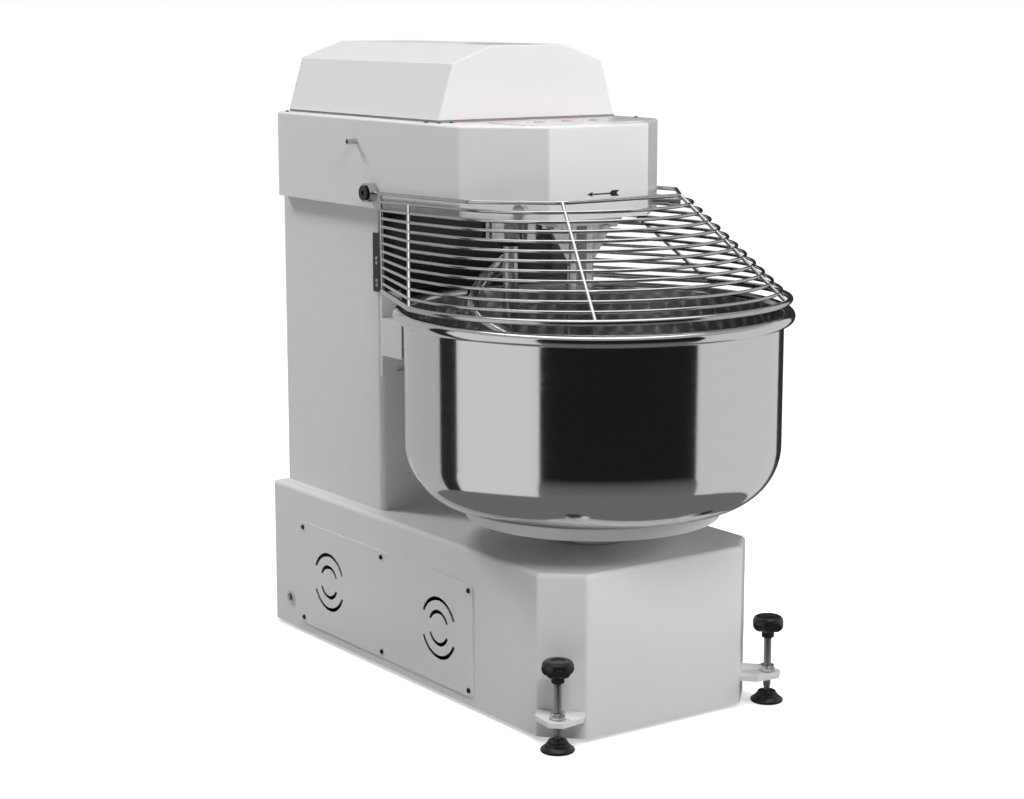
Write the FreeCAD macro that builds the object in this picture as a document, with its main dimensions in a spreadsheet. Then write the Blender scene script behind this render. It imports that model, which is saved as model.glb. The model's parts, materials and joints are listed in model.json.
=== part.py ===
"""Floor-standing spiral dough mixer, as separate pieces in one frame.

Millimetres, +Z up, the front faces -Y. The origin is on the floor under the middle of the machine's box.
Pieces are drawn about the bowl's axis and then moved back by bowl_axis_y.
"""
import FreeCAD, Part
import math
import os
import re
import Sketcher
from FreeCAD import Vector

# Driving sizes. Heights are from the floor, and depths are from the bowl's axis.
SIZES = {
    # base casing
    "base_half_width": 268,
    "base_front": 246,
    "base_tail": 5,
    "base_bottom": 8,
    "base_height": 332,
    "base_chamfer": 69,
    "base_wall": 5,
    "base_edge_radius": 10,
    "base_floor_thickness": 6,
    # column casing
    "column_half_width": 231.5,
    "column_gap": 40.5,
    "column_depth": 418.5,
    "column_height": 663.5,
    "column_wall": 4,
    "column_edge_radius": 12,
    # head casing
    "head_half_width": 254,
    "head_front": 17,
    "head_rear_step": 21,
    "head_height": 188.5,
    "head_chamfer": 129,
    "head_wall": 4,
    "head_edge_radius": 6,
    "head_floor_thickness": 12,
    # hood and its seal
    "hood_half_width": 227.5,
    "hood_shoulder_half_width": 192.5,
    "hood_ridge_half_width": 90,
    "hood_rear_step": 9,
    "hood_length": 610,
    "hood_shoulder_height": 114,
    "hood_ridge_height": 150,
    "hood_wall": 3,
    "hood_edge_radius": 4,
    "seal_height": 5,
    "seal_width": 14,
    "seal_inset": 1.5,
    # covers and their screws
    "cover_thickness": 2.5,
    "cover_corner_radius": 12,
    "cover_overlap": 28,
    "panel_rear_inset": 128,
    "panel_length": 700,
    "panel_bottom": 28,
    "panel_height": 238,
    "panel_screw_inset": 13,
    "vent_outer_radius": 63,
    "vent_inner_radius": 35,
    "vent_slot": 8.5,
    "vent_sweep": 130,
    "vent_inset": 126,
    "rear_cover_half_width": 190,
    "rear_cover_lift": 60,
    "rear_cover_height": 540,
    "screw_head_radius": 6,
    "screw_head_height": 2.2,
    "screw_radius": 3,
    "screw_clearance": 0.2,
    # cable entry
    "grommet_radius": 12,
    "grommet_bore_radius": 10.5,
    "grommet_flange": 4,
    "grommet_lip": 3,
    "grommet_rear_inset": 77,
    "grommet_height": 73,
    # bowl
    "bowl_inner_radius": 384.5,
    "bowl_wall": 3,
    "bowl_corner_radius": 122,
    "bowl_lift": 80,
    "bowl_depth": 391,
    "rim_bead_radius": 12.75,
    # bowl support and drive
    "support_radius": 264,
    "support_rim_height": 25,
    "support_rim_width": 30,
    "support_plate": 12,
    "hub_radius": 75,
    "hub_gap": 2,
    "bowl_shaft_radius": 30,
    "bowl_housing_radius": 62,
    "bowl_housing_flange_radius": 110,
    "bowl_housing_flange": 15,
    "bowl_housing_length": 185,
    "bowl_bearing_radius": 50,
    "bowl_bearing_height": 22,
    "bowl_pulley_radius": 190,
    "bowl_pulley_bottom": 78,
    "bowl_motor_radius": 90,
    "bowl_motor_length": 150,
    "bowl_motor_flange": 15,
    "bowl_motor_flange_radius": 105,
    "bowl_motor_inset": 109.5,
    "bowl_motor_pulley_radius": 48,
    "bowl_motor_shaft_radius": 15,
    # spiral hook and drive
    "spiral_x": -70,
    "spiral_y": 195,
    "hook_bar_radius": 16,
    "hook_shank_radius": 16.5,
    "hook_turn_radius": 109,
    "hook_quarter_drop": 96.5,
    "hook_start_drop": 12.5,
    "hook_start_angle": 77,
    "hook_floor_gap": 25,
    "seal_cap_radius": 57.5,
    "seal_cap_height": 55.5,
    "shaft_seal_radius": 25,
    "shaft_seal_height": 13,
    "shaft_seal_gap": 1,
    "spiral_shaft_radius": 24,
    "spiral_housing_radius": 66,
    "spiral_housing_flange_radius": 95,
    "spiral_housing_flange": 12,
    "spiral_housing_height": 62,
    "spiral_bearing_radius": 45,
    "spiral_bearing_height": 20,
    "spiral_pulley_radius": 160,
    "spiral_pulley_lift": 10,
    "spiral_motor_inset": 199.5,
    "spiral_motor_radius": 112,
    "spiral_motor_length": 330,
    "spiral_motor_flange_radius": 130,
    "spiral_motor_flange": 16,
    "spiral_motor_cowl": 60,
    "spiral_motor_shaft_radius": 19,
    "spiral_motor_pulley_radius": 56,
    "motor_well_gap": 2,
    "shaft_hole_gap": 5,
    "bearing_shelf": 8,
    # belts and pulleys
    "belt_width": 12,
    "belt_depth": 9,
    "groove_gap": 0.4,
    "groove_land": 4,
    "running_clearance": 0.05,
    # breaker bar
    "breaker_x": -22,
    "breaker_y": 18,
    "breaker_radius": 28,
    "breaker_floor_gap": 18,
    "breaker_plate_length": 164,
    "breaker_plate_depth": 66,
    "breaker_plate_thickness": 12,
    "gusset_height": 105,
    "gusset_thickness": 10,
    "breaker_bolt_radius": 5,
    "breaker_bolt_head_radius": 9,
    "breaker_bolt_head_height": 7,
    "breaker_bolt_inset": 13,
    # bowl guard
    "pivot_ahead": 13.5,
    "pivot_lift": 34,
    "guard_tilt": 1.2,
    "guard_wire_count": 12,
    "guard_rim_gap": 1.35,
    "guard_wire_radius": 3.5,
    "guard_frame_radius": 4,
    "guard_rib_radius": 4,
    "guard_bottom_radius": 6,
    "guard_top_arc_y": 95,
    "guard_rim_inset": 14,
    "guard_low_arc_y": 0,
    "guard_rod_ahead": 45,
    "guard_kink_ahead": 152,
    "guard_kink_inset": 24,
    "guard_kink_low_y": 98,
    "guard_rib_angle": 52.9,
    "guard_corner_y": 60,
    "guard_bend_radius": 25,
    "boss_radius": 20.5,
    "boss_length": 20,
    "boss_gap": 2,
    "pivot_bolt_radius": 8,
    "pivot_head_radius": 16,
    "pivot_head_height": 3,
    "pivot_nut_width": 24,
    "pivot_nut_height": 10,
    "pivot_socket_width": 10,
    "pivot_socket_depth": 7,
    # guard rests and stop
    "post_radius": 9,
    "post_length": 38,
    "post_cap_radius": 12,
    "post_cap_length": 24,
    "rest_gap": 0.3,
    "post_along": 52,
    "stop_pin_radius": 6,
    "stop_pin_length": 23,
    "stop_pin_behind": 68,
    "stop_pin_lift": 104.5,
    # rear shield
    "shield_thickness": 2,
    "shield_clearance": 7,
    "shield_overhang": 40,
    "shield_flange": 25,
    "shield_flange_drop": 55.5,
    # steadying rollers
    "roller_radius": 25,
    "roller_x": 182,
    "roller_drop": 103,
    "roller_height": 36,
    "roller_gap": 0.3,
    "roller_pin_radius": 8,
    "roller_pin_head": 4,
    "roller_pin_head_radius": 12,
    "bracket_thickness": 6,
    "bracket_drop": 68,
    "bracket_height": 175,
    "bracket_lug": 8,
    "bracket_lug_gap": 1,
    "bracket_lug_half_width": 17,
    "bracket_inner_x": 150,
    "bracket_slot_radius": 5,
    "bracket_slot_length": 14,
    "bracket_slot_inset": 12,
    "roller_cover_wall": 2.5,
    "roller_cover_drop": 23,
    "roller_cover_height": 82,
    "roller_cover_reach": 77,
    # levelling feet
    "foot_offset": 53,
    "foot_pad_radius": 34,
    "foot_pad_edge": 8,
    "foot_pad_height": 24,
    "foot_pad_top_radius": 14,
    "foot_screw_radius": 8,
    "foot_neck_radius": 6,
    "foot_neck_height": 16,
    "foot_screw_length": 126,
    "thread_gap": 0.3,
    "foot_tab_bottom": 54,
    "foot_tab_thickness": 10,
    "foot_tab_inset": 1,
    "foot_tab_shoulder": 36,
    "foot_tab_nose_half_width": 15,
    "foot_tab_overhang": 26,
    "foot_nut_width": 24,
    "foot_nut_height": 14,
    "knob_stem_radius": 12,
    "knob_stem_height": 12,
    "knob_radius": 32,
    "knob_height": 33,
    "knob_flute_radius": 11,
    "knob_flutes": 6,
    "knob_edge": 4,
    # transport wheels
    "wheel_radius": 35,
    "wheel_width": 26,
    "wheel_x": 205,
    "rear_wheel_inset": 70,
    "front_wheel_inset": 95,
    "front_wheel_lift": 3,
    "axle_radius": 8,
    "axle_flange_radius": 14,
    "axle_flange": 3,
    "fork_cheek": 6,
    "fork_gap": 1,
    "fork_half_length": 30,
    "fork_crown": 12,
    "well_gap": 3,
    # electrical box
    "box_depth": 90,
    "box_length": 180,
    "box_height": 300,
    "box_lift": 120,
    "box_front_gap": 105,
    # control panel and keys
    "panel_plate_half_width": 150,
    "panel_plate_depth": 130,
    "panel_plate_front": 45,
    "panel_plate_thickness": 2,
    "key_radius": 11,
    "key_gap": 0.3,
    "key_rise": 2.5,
    "key_pitch": 70,
    "key_flange": 3,
    "key_flange_thickness": 2,
    "key_flange_gap": 0.4,
}

# Places that follow from the driving sizes.
PLACES = {
    "rim_radius": "bowl_inner_radius + 2 * rim_bead_radius",
    "bowl_radius": "bowl_inner_radius + bowl_wall",
    "bowl_bottom": "base_top + bowl_lift",
    "column_front": "rim_radius + column_gap",
    "base_rear": "column_rear + base_tail",
    "bowl_axis_y": "(rim_radius - base_rear) / 2",
    "base_top": "base_bottom + base_height",
    "roof_under": "base_top - base_wall",
    "column_rear": "column_front + column_depth",
    "head_bottom": "base_top + column_height",
    "head_top": "head_bottom + head_height",
    "head_floor_top": "head_bottom + head_floor_thickness",
    "corner_share": "(2 - sqrt(2))",
    "hood_base": "head_top + seal_height",
    "head_rear": "column_rear - head_rear_step",
    "hood_rear": "head_rear - hood_rear_step",
    "hood_front": "hood_rear - hood_length",
    "panel_rear": "base_rear - panel_rear_inset",
    "panel_front": "panel_rear - panel_length",
    "rear_cover_bottom": "base_top + rear_cover_lift",
    "box_bottom": "base_top + box_lift",
    "rim_height": "bowl_bottom + bowl_depth",
    "rim_top": "rim_height + rim_bead_radius",
    "pulley_groove": "belt_width + 2 * groove_gap",
    "bowl_motor_distance": "column_front + bowl_motor_inset",
    "spiral_motor_y": "column_front + spiral_motor_inset",
    "breaker_bottom": "bowl_bottom + bowl_wall + breaker_floor_gap",
    "pivot_y": "column_front - pivot_ahead",
    "pivot_z": "head_bottom + pivot_lift",
    "boss_inner_x": "head_half_width + boss_gap",
    "arm_x": "boss_inner_x + 2 * guard_frame_radius",
    "guard_top_arc": "boss_inner_x + guard_wire_radius",
    "guard_low_arc": "rim_radius - guard_rim_inset",
    "guard_rod_y": "pivot_y - guard_rod_ahead",
    "guard_kink_top_y": "pivot_y - guard_kink_ahead",
    "guard_kink_low_x": "rim_radius - guard_kink_inset",
    "guard_drop": "pivot_z - rim_top - guard_rim_gap - guard_bottom_radius",
    "guard_wire_pitch": "guard_drop / guard_wire_count",
    "roller_bottom": "rim_height - roller_drop",
    "bracket_bottom": "roller_bottom - bracket_drop",
    "shield_bottom": "bracket_bottom + bracket_height + shield_clearance",
    "shield_height": "head_bottom - shield_bottom",
    "shield_flange_height": "shield_height - shield_flange_drop",
    "shield_left": "-(column_half_width + shield_thickness)",
    "shield_right": "column_half_width + shield_overhang",
    "roller_cover_bottom": "roller_bottom - roller_cover_drop",
    "foot_tab_half_width": "base_chamfer / sqrt(2) - foot_tab_inset",
    "foot_x": "base_half_width - base_chamfer / 2 + foot_offset / sqrt(2)",
    "foot_y": "-(base_front - base_chamfer / 2 + foot_offset / sqrt(2))",
    "screw_bottom": "foot_pad_height",
    "screw_top": "screw_bottom + foot_screw_length",
    "roller_distance": "bowl_radius + roller_gap + roller_radius",
    "roller_y": "sqrt(roller_distance ^ 2 - roller_x ^ 2)",
    "fork_half_width": "wheel_width / 2 + fork_gap + fork_cheek",
    "floor_top": "base_bottom + base_floor_thickness",
    "rear_wheel_y": "base_rear - rear_wheel_inset",
    "front_wheel_y": "-(base_front - front_wheel_inset)",
    "breaker_plate_z": "head_bottom - breaker_plate_thickness",
    "hook_top": "head_bottom - seal_cap_height - shaft_seal_height",
    "spiral_pulley_z": "head_floor_top + spiral_housing_height + spiral_pulley_lift",
    "overcut": "1",
}

doc = FreeCAD.newDocument("spiral_mixer")
sheet = doc.addObject("Spreadsheet::Sheet", "sizes")
for row, (alias, number) in enumerate(SIZES.items(), 1):
    sheet.set(f"A{row}", alias)
    sheet.set(f"B{row}", str(number))
    sheet.setAlias(f"B{row}", alias)
doc.recompute()
pieces = []


# Expressions, values and placing

def expand(expression):
    """Write an expression of size and place names as one that reads the sheet."""
    def swap(match):
        word = match.group()
        if word in PLACES:
            return f"({expand(PLACES[word])})"
        return f"sizes.{word}" if word in SIZES else word

    return re.sub(r"[a-z_][a-z_0-9]*", swap, str(expression))


def value(expression):
    return float(sheet.evalExpression(expand(expression)))


def bind(item, **expressions):
    for name, expression in expressions.items():
        item.setExpression(name, expand(expression))
    return item


def place(item, x=0, y=0, z=0):
    for axis, expression in zip("xyz", (x, y, z)):
        item.setExpression(f"Placement.Base.{axis}", expand(expression))
    return item


def piece(label, *items):
    """One sub-part: a single shape, or a group of separate solids, moved to the machine's frame."""
    item = items[0]
    if len(items) > 1 or item.TypeId not in ("Part::Cut", "Part::MultiFuse"):
        item = doc.addObject("Part::Compound", label + "_group")
        item.Links = list(items)
    item.Label = label
    place(item, y="bowl_axis_y")
    pieces.append(item)
    return item


# Part primitives and booleans

TURNS = {
    "x": FreeCAD.Rotation(Vector(0, 1, 0), 90),
    "y": FreeCAD.Rotation(Vector(1, 0, 0), -90),
    "z": FreeCAD.Rotation(),
}


def box(low, size):
    item = doc.addObject("Part::Box", "block")
    bind(item, Length=size[0], Width=size[1], Height=size[2])
    return place(item, *low)


def rod(radius, length, at, along="z", turn=None):
    item = doc.addObject("Part::Cylinder", "rod")
    bind(item, Radius=radius, Height=length)
    item.Placement.Rotation = turn or TURNS[along]
    return place(item, *at)


def hexagon(width, length, at, along="z"):
    item = doc.addObject("Part::Prism", "hexagon")
    item.Polygon = 6
    bind(item, Circumradius=f"{width} / sqrt(3)", Height=length)
    item.Placement.Rotation = TURNS[along]
    return place(item, *at)


def fuse(*items):
    item = doc.addObject("Part::MultiFuse", "joined")
    item.Shapes = list(items)
    item.Refine = True
    return item


def cut(base, *tools):
    item = doc.addObject("Part::Cut", "cut")
    item.Base = base
    if len(tools) == 1:
        item.Tool = tools[0]
    else:
        item.Tool = doc.addObject("Part::Compound", "tools")
        item.Tool.Links = list(tools)
    return item


def common(base, tool):
    item = doc.addObject("Part::Common", "common")
    item.Base = base
    item.Tool = tool
    return item


def tube(outer, inner, length, at, along="z"):
    return cut(rod(outer, length, at, along), rod(inner, length, at, along))


def both_sides(make):
    """The left and right copies of something made by a function of the side, -1 or 1."""
    return [make(-1), make(1)]


# Part Design bodies from outlines of bound points

def outline(body, role, points, offset=0):
    """A closed outline on one of the body's own planes, with every corner bound to the sheet."""
    plane = next(item for item in body.Origin.OriginFeatures if item.Role == role)
    sketch = body.newObject("Sketcher::SketchObject", "outline")
    sketch.AttachmentSupport = (plane, [""])
    sketch.MapMode = "FlatFace"
    bind(sketch, **{"AttachmentOffset.Base.z": offset})
    corners = [Vector(value(x), value(y), 0) for x, y in points]
    count = len(corners)
    for index in range(count):
        sketch.addGeometry(Part.LineSegment(corners[index], corners[(index + 1) % count]))
    for index in range(count):
        sketch.addConstraint(Sketcher.Constraint("Coincident", index, 2, (index + 1) % count, 1))
    for index, point in enumerate(points):
        for kind, expression in zip(("DistanceX", "DistanceY"), point):
            rule = Sketcher.Constraint(kind, -1, 1, index, 1, value(expression))
            number = sketch.addConstraint(rule)
            sketch.setExpression(f"Constraints[{number}]", expand(expression))
    return sketch


def prism(points, length, role="XY_Plane", offset=0, reverse=False):
    """A body padded from an outline."""
    body = doc.addObject("PartDesign::Body", "prism")
    pad = body.newObject("PartDesign::Pad", "pad")
    pad.Profile = outline(body, role, points, offset)
    bind(pad, Length=length)
    pad.Reversed = reverse
    doc.recompute()
    return body


def turned(points):
    """A body turned about the vertical axis from an outline of radius and height pairs."""
    body = doc.addObject("PartDesign::Body", "turned")
    sketch = outline(body, "XZ_Plane", points)
    turn = body.newObject("PartDesign::Revolution", "turn")
    turn.Profile = sketch
    turn.ReferenceAxis = (sketch, ["V_Axis"])
    turn.Angle = 360
    doc.recompute()
    return body


def rounded(body, radius, chosen):
    """Round the chosen edges of the body as it is now."""
    feature = body.Tip
    names = [f"Edge{number}" for number, edge in enumerate(feature.Shape.Edges, 1) if chosen(edge)]
    fillet = body.newObject("PartDesign::Fillet", "rounding")
    fillet.Base = (feature, names)
    bind(fillet, Radius=radius)
    doc.recompute()


def hollowed(body, wall, opened):
    """Leave a wall inside the body's faces, and open the chosen faces."""
    feature = body.Tip
    names = [f"Face{number}" for number, face in enumerate(feature.Shape.Faces, 1) if opened(face)]
    shell = body.newObject("PartDesign::Thickness", "wall")
    shell.Base = (feature, names)
    bind(shell, Value=wall)
    shell.Reversed = True
    shell.Join = 1
    doc.recompute()


def upright(edge):
    ends = edge.Vertexes
    return len(ends) == 2 and abs(ends[0].Z - ends[1].Z) > 1 and ends[0].Point.isEqual(
        Vector(ends[1].X, ends[1].Y, ends[0].Z), 0.001)


def at_height(expression):
    height = value(expression)
    return lambda edge: all(abs(point.Z - height) < 0.01 for point in edge.Vertexes)


def facing(expression, axis="z"):
    level = value(expression)
    return lambda face: abs(getattr(face.CenterOfMass, axis) - level) < 0.01


def plan(half_width, front, rear, chamfer, inset=0):
    """The plan of a casing with chamfered front corners, drawn in by an inset."""
    side = f"({half_width} - ({inset}))"
    nose = f"({front} - ({inset}))"
    corner = f"({chamfer} - ({inset}) * corner_share)"
    back = f"({rear} - ({inset}))"
    return [
        (f"-{side}", back),
        (f"-{side}", f"{corner} - {nose}"),
        (f"{corner} - {side}", f"-{nose}"),
        (f"{side} - {corner}", f"-{nose}"),
        (side, f"{corner} - {nose}"),
        (side, back),
    ]


def plates(casing, half_width, front, rear, chamfer, edge, bottom, top):
    """The roof, front, rear and sides of a hollow casing, as plates that meet where they are welded."""
    nose = f"({chamfer} + {edge} - {front})"
    side = f"({half_width} - {edge})"
    width = f"2 * {half_width}"
    length = f"{rear} - {nose}"
    height = f"{top} - {edge} - {bottom}"
    blocks = [
        box((f"-{half_width}", f"-{front}", f"{top} - {edge}"), (width, f"{rear} + {front}", edge)),
        box((f"-{half_width}", f"-{front}", bottom), (width, f"{chamfer} + {edge}", height)),
        box((f"-{side}", f"{rear} - {edge}", bottom), (f"2 * {side}", edge, height)),
        box((f"-{half_width}", nose, bottom), (edge, length, height)),
        box((side, nose, bottom), (edge, length, height)),
    ]
    return [common(casing, block) for block in blocks]


# Screws: each has a head on the outer face and a shank through the cover and the wall behind it

def screw(at, along, sign, grip):
    head_at = dict(zip("xyz", at))
    shank_at = dict(zip("xyz", at))
    if sign < 0:
        head_at[along] = f"{at['xyz'.index(along)]} - screw_head_height"
    else:
        shank_at[along] = f"{at['xyz'.index(along)]} - ({grip})"
    head = rod("screw_head_radius", "screw_head_height", head_at.values(), along)
    shank = rod("screw_radius", grip, shank_at.values(), along)
    hole = rod("screw_radius + screw_clearance", grip, shank_at.values(), along)
    return fuse(head, shank), hole


casing_screws = []

# Base casing with its side panel, cable entry and floor

panel_face = "-(base_half_width + cover_thickness)"
panel_holes = []
for y in ("panel_front + panel_screw_inset", "panel_front + panel_length / 2",
          "panel_rear - panel_screw_inset"):
    for z in ("panel_bottom + panel_screw_inset", "panel_bottom + panel_height - panel_screw_inset"):
        made, hole = screw((panel_face, y, z), "x", -1, "cover_thickness + base_wall")
        casing_screws.append(made)
        panel_holes.append(hole)

body = prism(plan("base_half_width", "base_front", "base_rear", "base_chamfer"), "base_height",
             offset="base_bottom")
top = at_height("base_top")
rounded(body, "base_edge_radius", lambda edge: upright(edge) or top(edge))
hollowed(body, "base_wall", facing("base_bottom"))
window = box(("-(base_half_width + overcut)", "panel_front + cover_overlap", "panel_bottom + cover_overlap"),
             ("base_wall + 2 * overcut", "panel_length - 2 * cover_overlap",
              "panel_height - 2 * cover_overlap"))
grommet_y = "base_rear - grommet_rear_inset"
cable_hole = rod("grommet_radius", "base_wall + 2 * overcut",
                 ("-(base_half_width + overcut)", grommet_y, "grommet_height"), "x")
shaft_hole = rod("bowl_bearing_radius", "base_wall + 2 * overcut", (0, 0, "roof_under - overcut"))
casing = cut(body, window, cable_hole, shaft_hole, *panel_holes)
piece("base_shell", *plates(casing, "base_half_width", "base_front", "base_rear", "base_chamfer",
                            "base_edge_radius", "base_bottom", "base_top"))

flange_x = "-(base_half_width + grommet_lip)"
grommet_at = (flange_x, grommet_y, "grommet_height")
grommet_length = "grommet_lip + base_wall"
grommet = fuse(rod("grommet_radius + grommet_flange", "grommet_lip", grommet_at, "x"),
               rod("grommet_radius", grommet_length, grommet_at, "x"))
piece("cable_grommet", cut(grommet, rod("grommet_bore_radius", grommet_length, grommet_at, "x")))

panel_top = "panel_bottom + panel_height"
body = prism([("panel_front", "panel_bottom"), ("panel_rear", "panel_bottom"), ("panel_rear", panel_top),
              ("panel_front", panel_top)], "cover_thickness", "YZ_Plane", panel_face)
rounded(body, "cover_corner_radius", lambda edge: abs(edge.Vertexes[0].X - edge.Vertexes[1].X) > 1)
slots = []
for y in ("panel_front + vent_inset", "panel_rear - vent_inset"):
    centre = (panel_face, y, "panel_bottom + panel_height / 2")
    for radius in ("vent_outer_radius", "vent_inner_radius"):
        for start in (0, 180):
            ring = rod(f"{radius} + vent_slot / 2", "cover_thickness", centre, "x")
            bind(ring, Angle="vent_sweep")
            lean = f"{start} - vent_sweep / 2 - 180"
            ring.Placement.Rotation = TURNS["x"].multiply(FreeCAD.Rotation(Vector(0, 0, 1), value(lean)))
            slots.append(cut(ring, rod(f"{radius} - vent_slot / 2", "cover_thickness", centre, "x")))
piece("side_access_panel", cut(body, *slots, *panel_holes))


def wheel_place(side, y):
    return f"{side} * wheel_x", y


WHEELS = [wheel_place(side, y) for y in ("rear_wheel_y", "front_wheel_y") for side in (-1, 1)]
body = prism(plan("base_half_width", "base_front", "base_rear", "base_chamfer", "base_wall"),
             "base_floor_thickness", offset="base_bottom")
rounded(body, "base_edge_radius", upright)
wells = [box((f"{x} - fork_half_width + fork_cheek", f"{y} - wheel_radius - well_gap",
              "base_bottom - overcut"),
             ("2 * (fork_half_width - fork_cheek)", "2 * (wheel_radius + well_gap)",
              "base_floor_thickness + 2 * overcut"))
         for x, y in WHEELS]
piece("base_floor", cut(body, *wells))

# Column casing and rear cover

column_plan = [("-column_half_width", "column_front"), ("column_half_width", "column_front"),
               ("column_half_width", "column_rear"), ("-column_half_width", "column_rear")]
body = prism(column_plan, "column_height", offset="base_top")
rounded(body, "column_edge_radius", upright)
hollowed(body, "column_wall", facing("base_top"))
rear_holes = []
for x in ("-(rear_cover_half_width - panel_screw_inset)", "rear_cover_half_width - panel_screw_inset"):
    for share in ("panel_screw_inset", "rear_cover_height / 2", "rear_cover_height - panel_screw_inset"):
        made, hole = screw((x, "column_rear + cover_thickness", f"rear_cover_bottom + {share}"), "y", 1,
                           "cover_thickness + column_wall")
        casing_screws.append(made)
        rear_holes.append(hole)
rear_window = box(("cover_overlap - rear_cover_half_width", "column_rear - column_wall - overcut",
                   "rear_cover_bottom + cover_overlap"),
                  ("2 * (rear_cover_half_width - cover_overlap)", "column_wall + 2 * overcut",
                   "rear_cover_height - 2 * cover_overlap"))
motor_well = rod("spiral_motor_flange_radius + motor_well_gap", "column_wall + 2 * overcut",
                 (0, "spiral_motor_y", "head_bottom - column_wall - overcut"))
piece("column_shell", cut(body, rear_window, motor_well, *rear_holes))

body = prism([("-rear_cover_half_width", "rear_cover_bottom"), ("rear_cover_half_width", "rear_cover_bottom"),
              ("rear_cover_half_width", "rear_cover_bottom + rear_cover_height"),
              ("-rear_cover_half_width", "rear_cover_bottom + rear_cover_height")],
             "cover_thickness", "XZ_Plane", "-column_rear", True)
rounded(body, "cover_corner_radius", lambda edge: abs(edge.Vertexes[0].Y - edge.Vertexes[1].Y) > 1)
piece("rear_cover", cut(body, *rear_holes))
piece("casing_screws", *casing_screws)
piece("electrical_box", box(("column_wall - column_half_width", "column_front + box_front_gap", "box_bottom"),
                            ("box_depth", "box_length", "box_height")))

# Head casing, its floor, the hood and the control panel

KEYS = {"start_key": "-key_pitch", "stop_key": "0", "speed_key": "key_pitch"}
panel_plate_y = "panel_plate_front - head_front"
key_y = f"({panel_plate_y} + panel_plate_depth / 2)"
key_holes = [rod("key_radius + key_gap", "head_wall + panel_plate_thickness + 2 * overcut",
                 (x, key_y, "head_top - head_wall - overcut")) for x in KEYS.values()]
pivot_holes = both_sides(lambda side: rod(
    "pivot_bolt_radius + screw_clearance", "head_wall + 2 * overcut",
    (f"{side} * (head_half_width - head_wall / 2) - head_wall / 2 - overcut", "pivot_y", "pivot_z"), "x"))
body = prism(plan("head_half_width", "head_front", "head_rear", "head_chamfer"), "head_height",
             offset="head_bottom")
top = at_height("head_top")
rounded(body, "head_edge_radius", lambda edge: upright(edge) or top(edge))
hollowed(body, "head_wall", facing("head_bottom"))
hood_mouth = "(seal_inset + seal_width)"
roof_window = box((f"{hood_mouth} - hood_half_width", f"hood_front + {hood_mouth}",
                   "head_top - head_wall - overcut"),
                  (f"2 * (hood_half_width - {hood_mouth})", f"hood_length - 2 * {hood_mouth}",
                   "head_wall + 2 * overcut"))
casing = cut(body, roof_window, *key_holes, *pivot_holes)
piece("head_shell", *plates(casing, "head_half_width", "head_front", "head_rear", "head_chamfer",
                            "head_edge_radius", "head_bottom", "head_top"))

body = prism([("-hood_half_width", "hood_base"), ("hood_half_width", "hood_base"),
              ("hood_shoulder_half_width", "hood_base + hood_shoulder_height"),
              ("hood_ridge_half_width", "hood_base + hood_ridge_height"),
              ("-hood_ridge_half_width", "hood_base + hood_ridge_height"),
              ("-hood_shoulder_half_width", "hood_base + hood_shoulder_height")],
             "hood_length", "XZ_Plane", "-hood_front", True)
corners = [point.Point for point in body.Tip.Shape.Vertexes]
low = at_height("hood_base")
hollowed(body, "hood_wall", facing("hood_base"))
rounded(body, "hood_edge_radius", lambda edge: not low(edge) and all(
    any(point.Point.isEqual(corner, 0.001) for corner in corners) for point in edge.Vertexes))
piece("hood", body)


def seal_block(inset):
    return box((f"{inset} - hood_half_width", f"hood_front + {inset}", "head_top"),
               (f"2 * (hood_half_width - ({inset}))", f"hood_length - 2 * ({inset})", "seal_height"))


piece("hood_seal", cut(seal_block("seal_inset"), seal_block(hood_mouth)))

plate = box(("-panel_plate_half_width", panel_plate_y, "head_top"),
            ("2 * panel_plate_half_width", "panel_plate_depth", "panel_plate_thickness"))
piece("control_panel", cut(plate, *key_holes))
for label, x in KEYS.items():
    under = "head_top - head_wall - key_flange_gap - key_flange_thickness"
    stem_top = "head_top + panel_plate_thickness + key_rise"
    stem = rod("key_radius", f"{stem_top} - ({under})", (x, key_y, under))
    piece(label, fuse(stem, rod("key_radius + key_flange", "key_flange_thickness", (x, key_y, under))))

BREAKER_BOLTS = [(f"breaker_x + {across} * (breaker_plate_length / 2 - breaker_bolt_inset)",
                  f"breaker_y + {along} * (breaker_plate_depth / 2 - breaker_bolt_inset)")
                 for across in (-1, 1) for along in (-1, 1)]
bolt_grip = "breaker_plate_thickness + head_floor_thickness"
bolt_holes = [rod("breaker_bolt_radius + screw_clearance", bolt_grip, (x, y, "breaker_plate_z"))
              for x, y in BREAKER_BOLTS]
body = prism(plan("head_half_width", "head_front", "head_rear", "head_chamfer", "head_wall"),
             "head_floor_thickness", offset="head_bottom")
rounded(body, "head_edge_radius", upright)
motor_shaft_hole = rod("spiral_motor_shaft_radius + shaft_hole_gap", bolt_grip,
                       (0, "spiral_motor_y", "breaker_plate_z"))
spiral_shaft_hole = rod("spiral_shaft_radius + shaft_hole_gap", bolt_grip,
                        ("spiral_x", "spiral_y", "breaker_plate_z"))
piece("head_floor", cut(body, motor_shaft_hole, spiral_shaft_hole, *bolt_holes))

# Breaker bar, a welded post with two gussets under a plate

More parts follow.
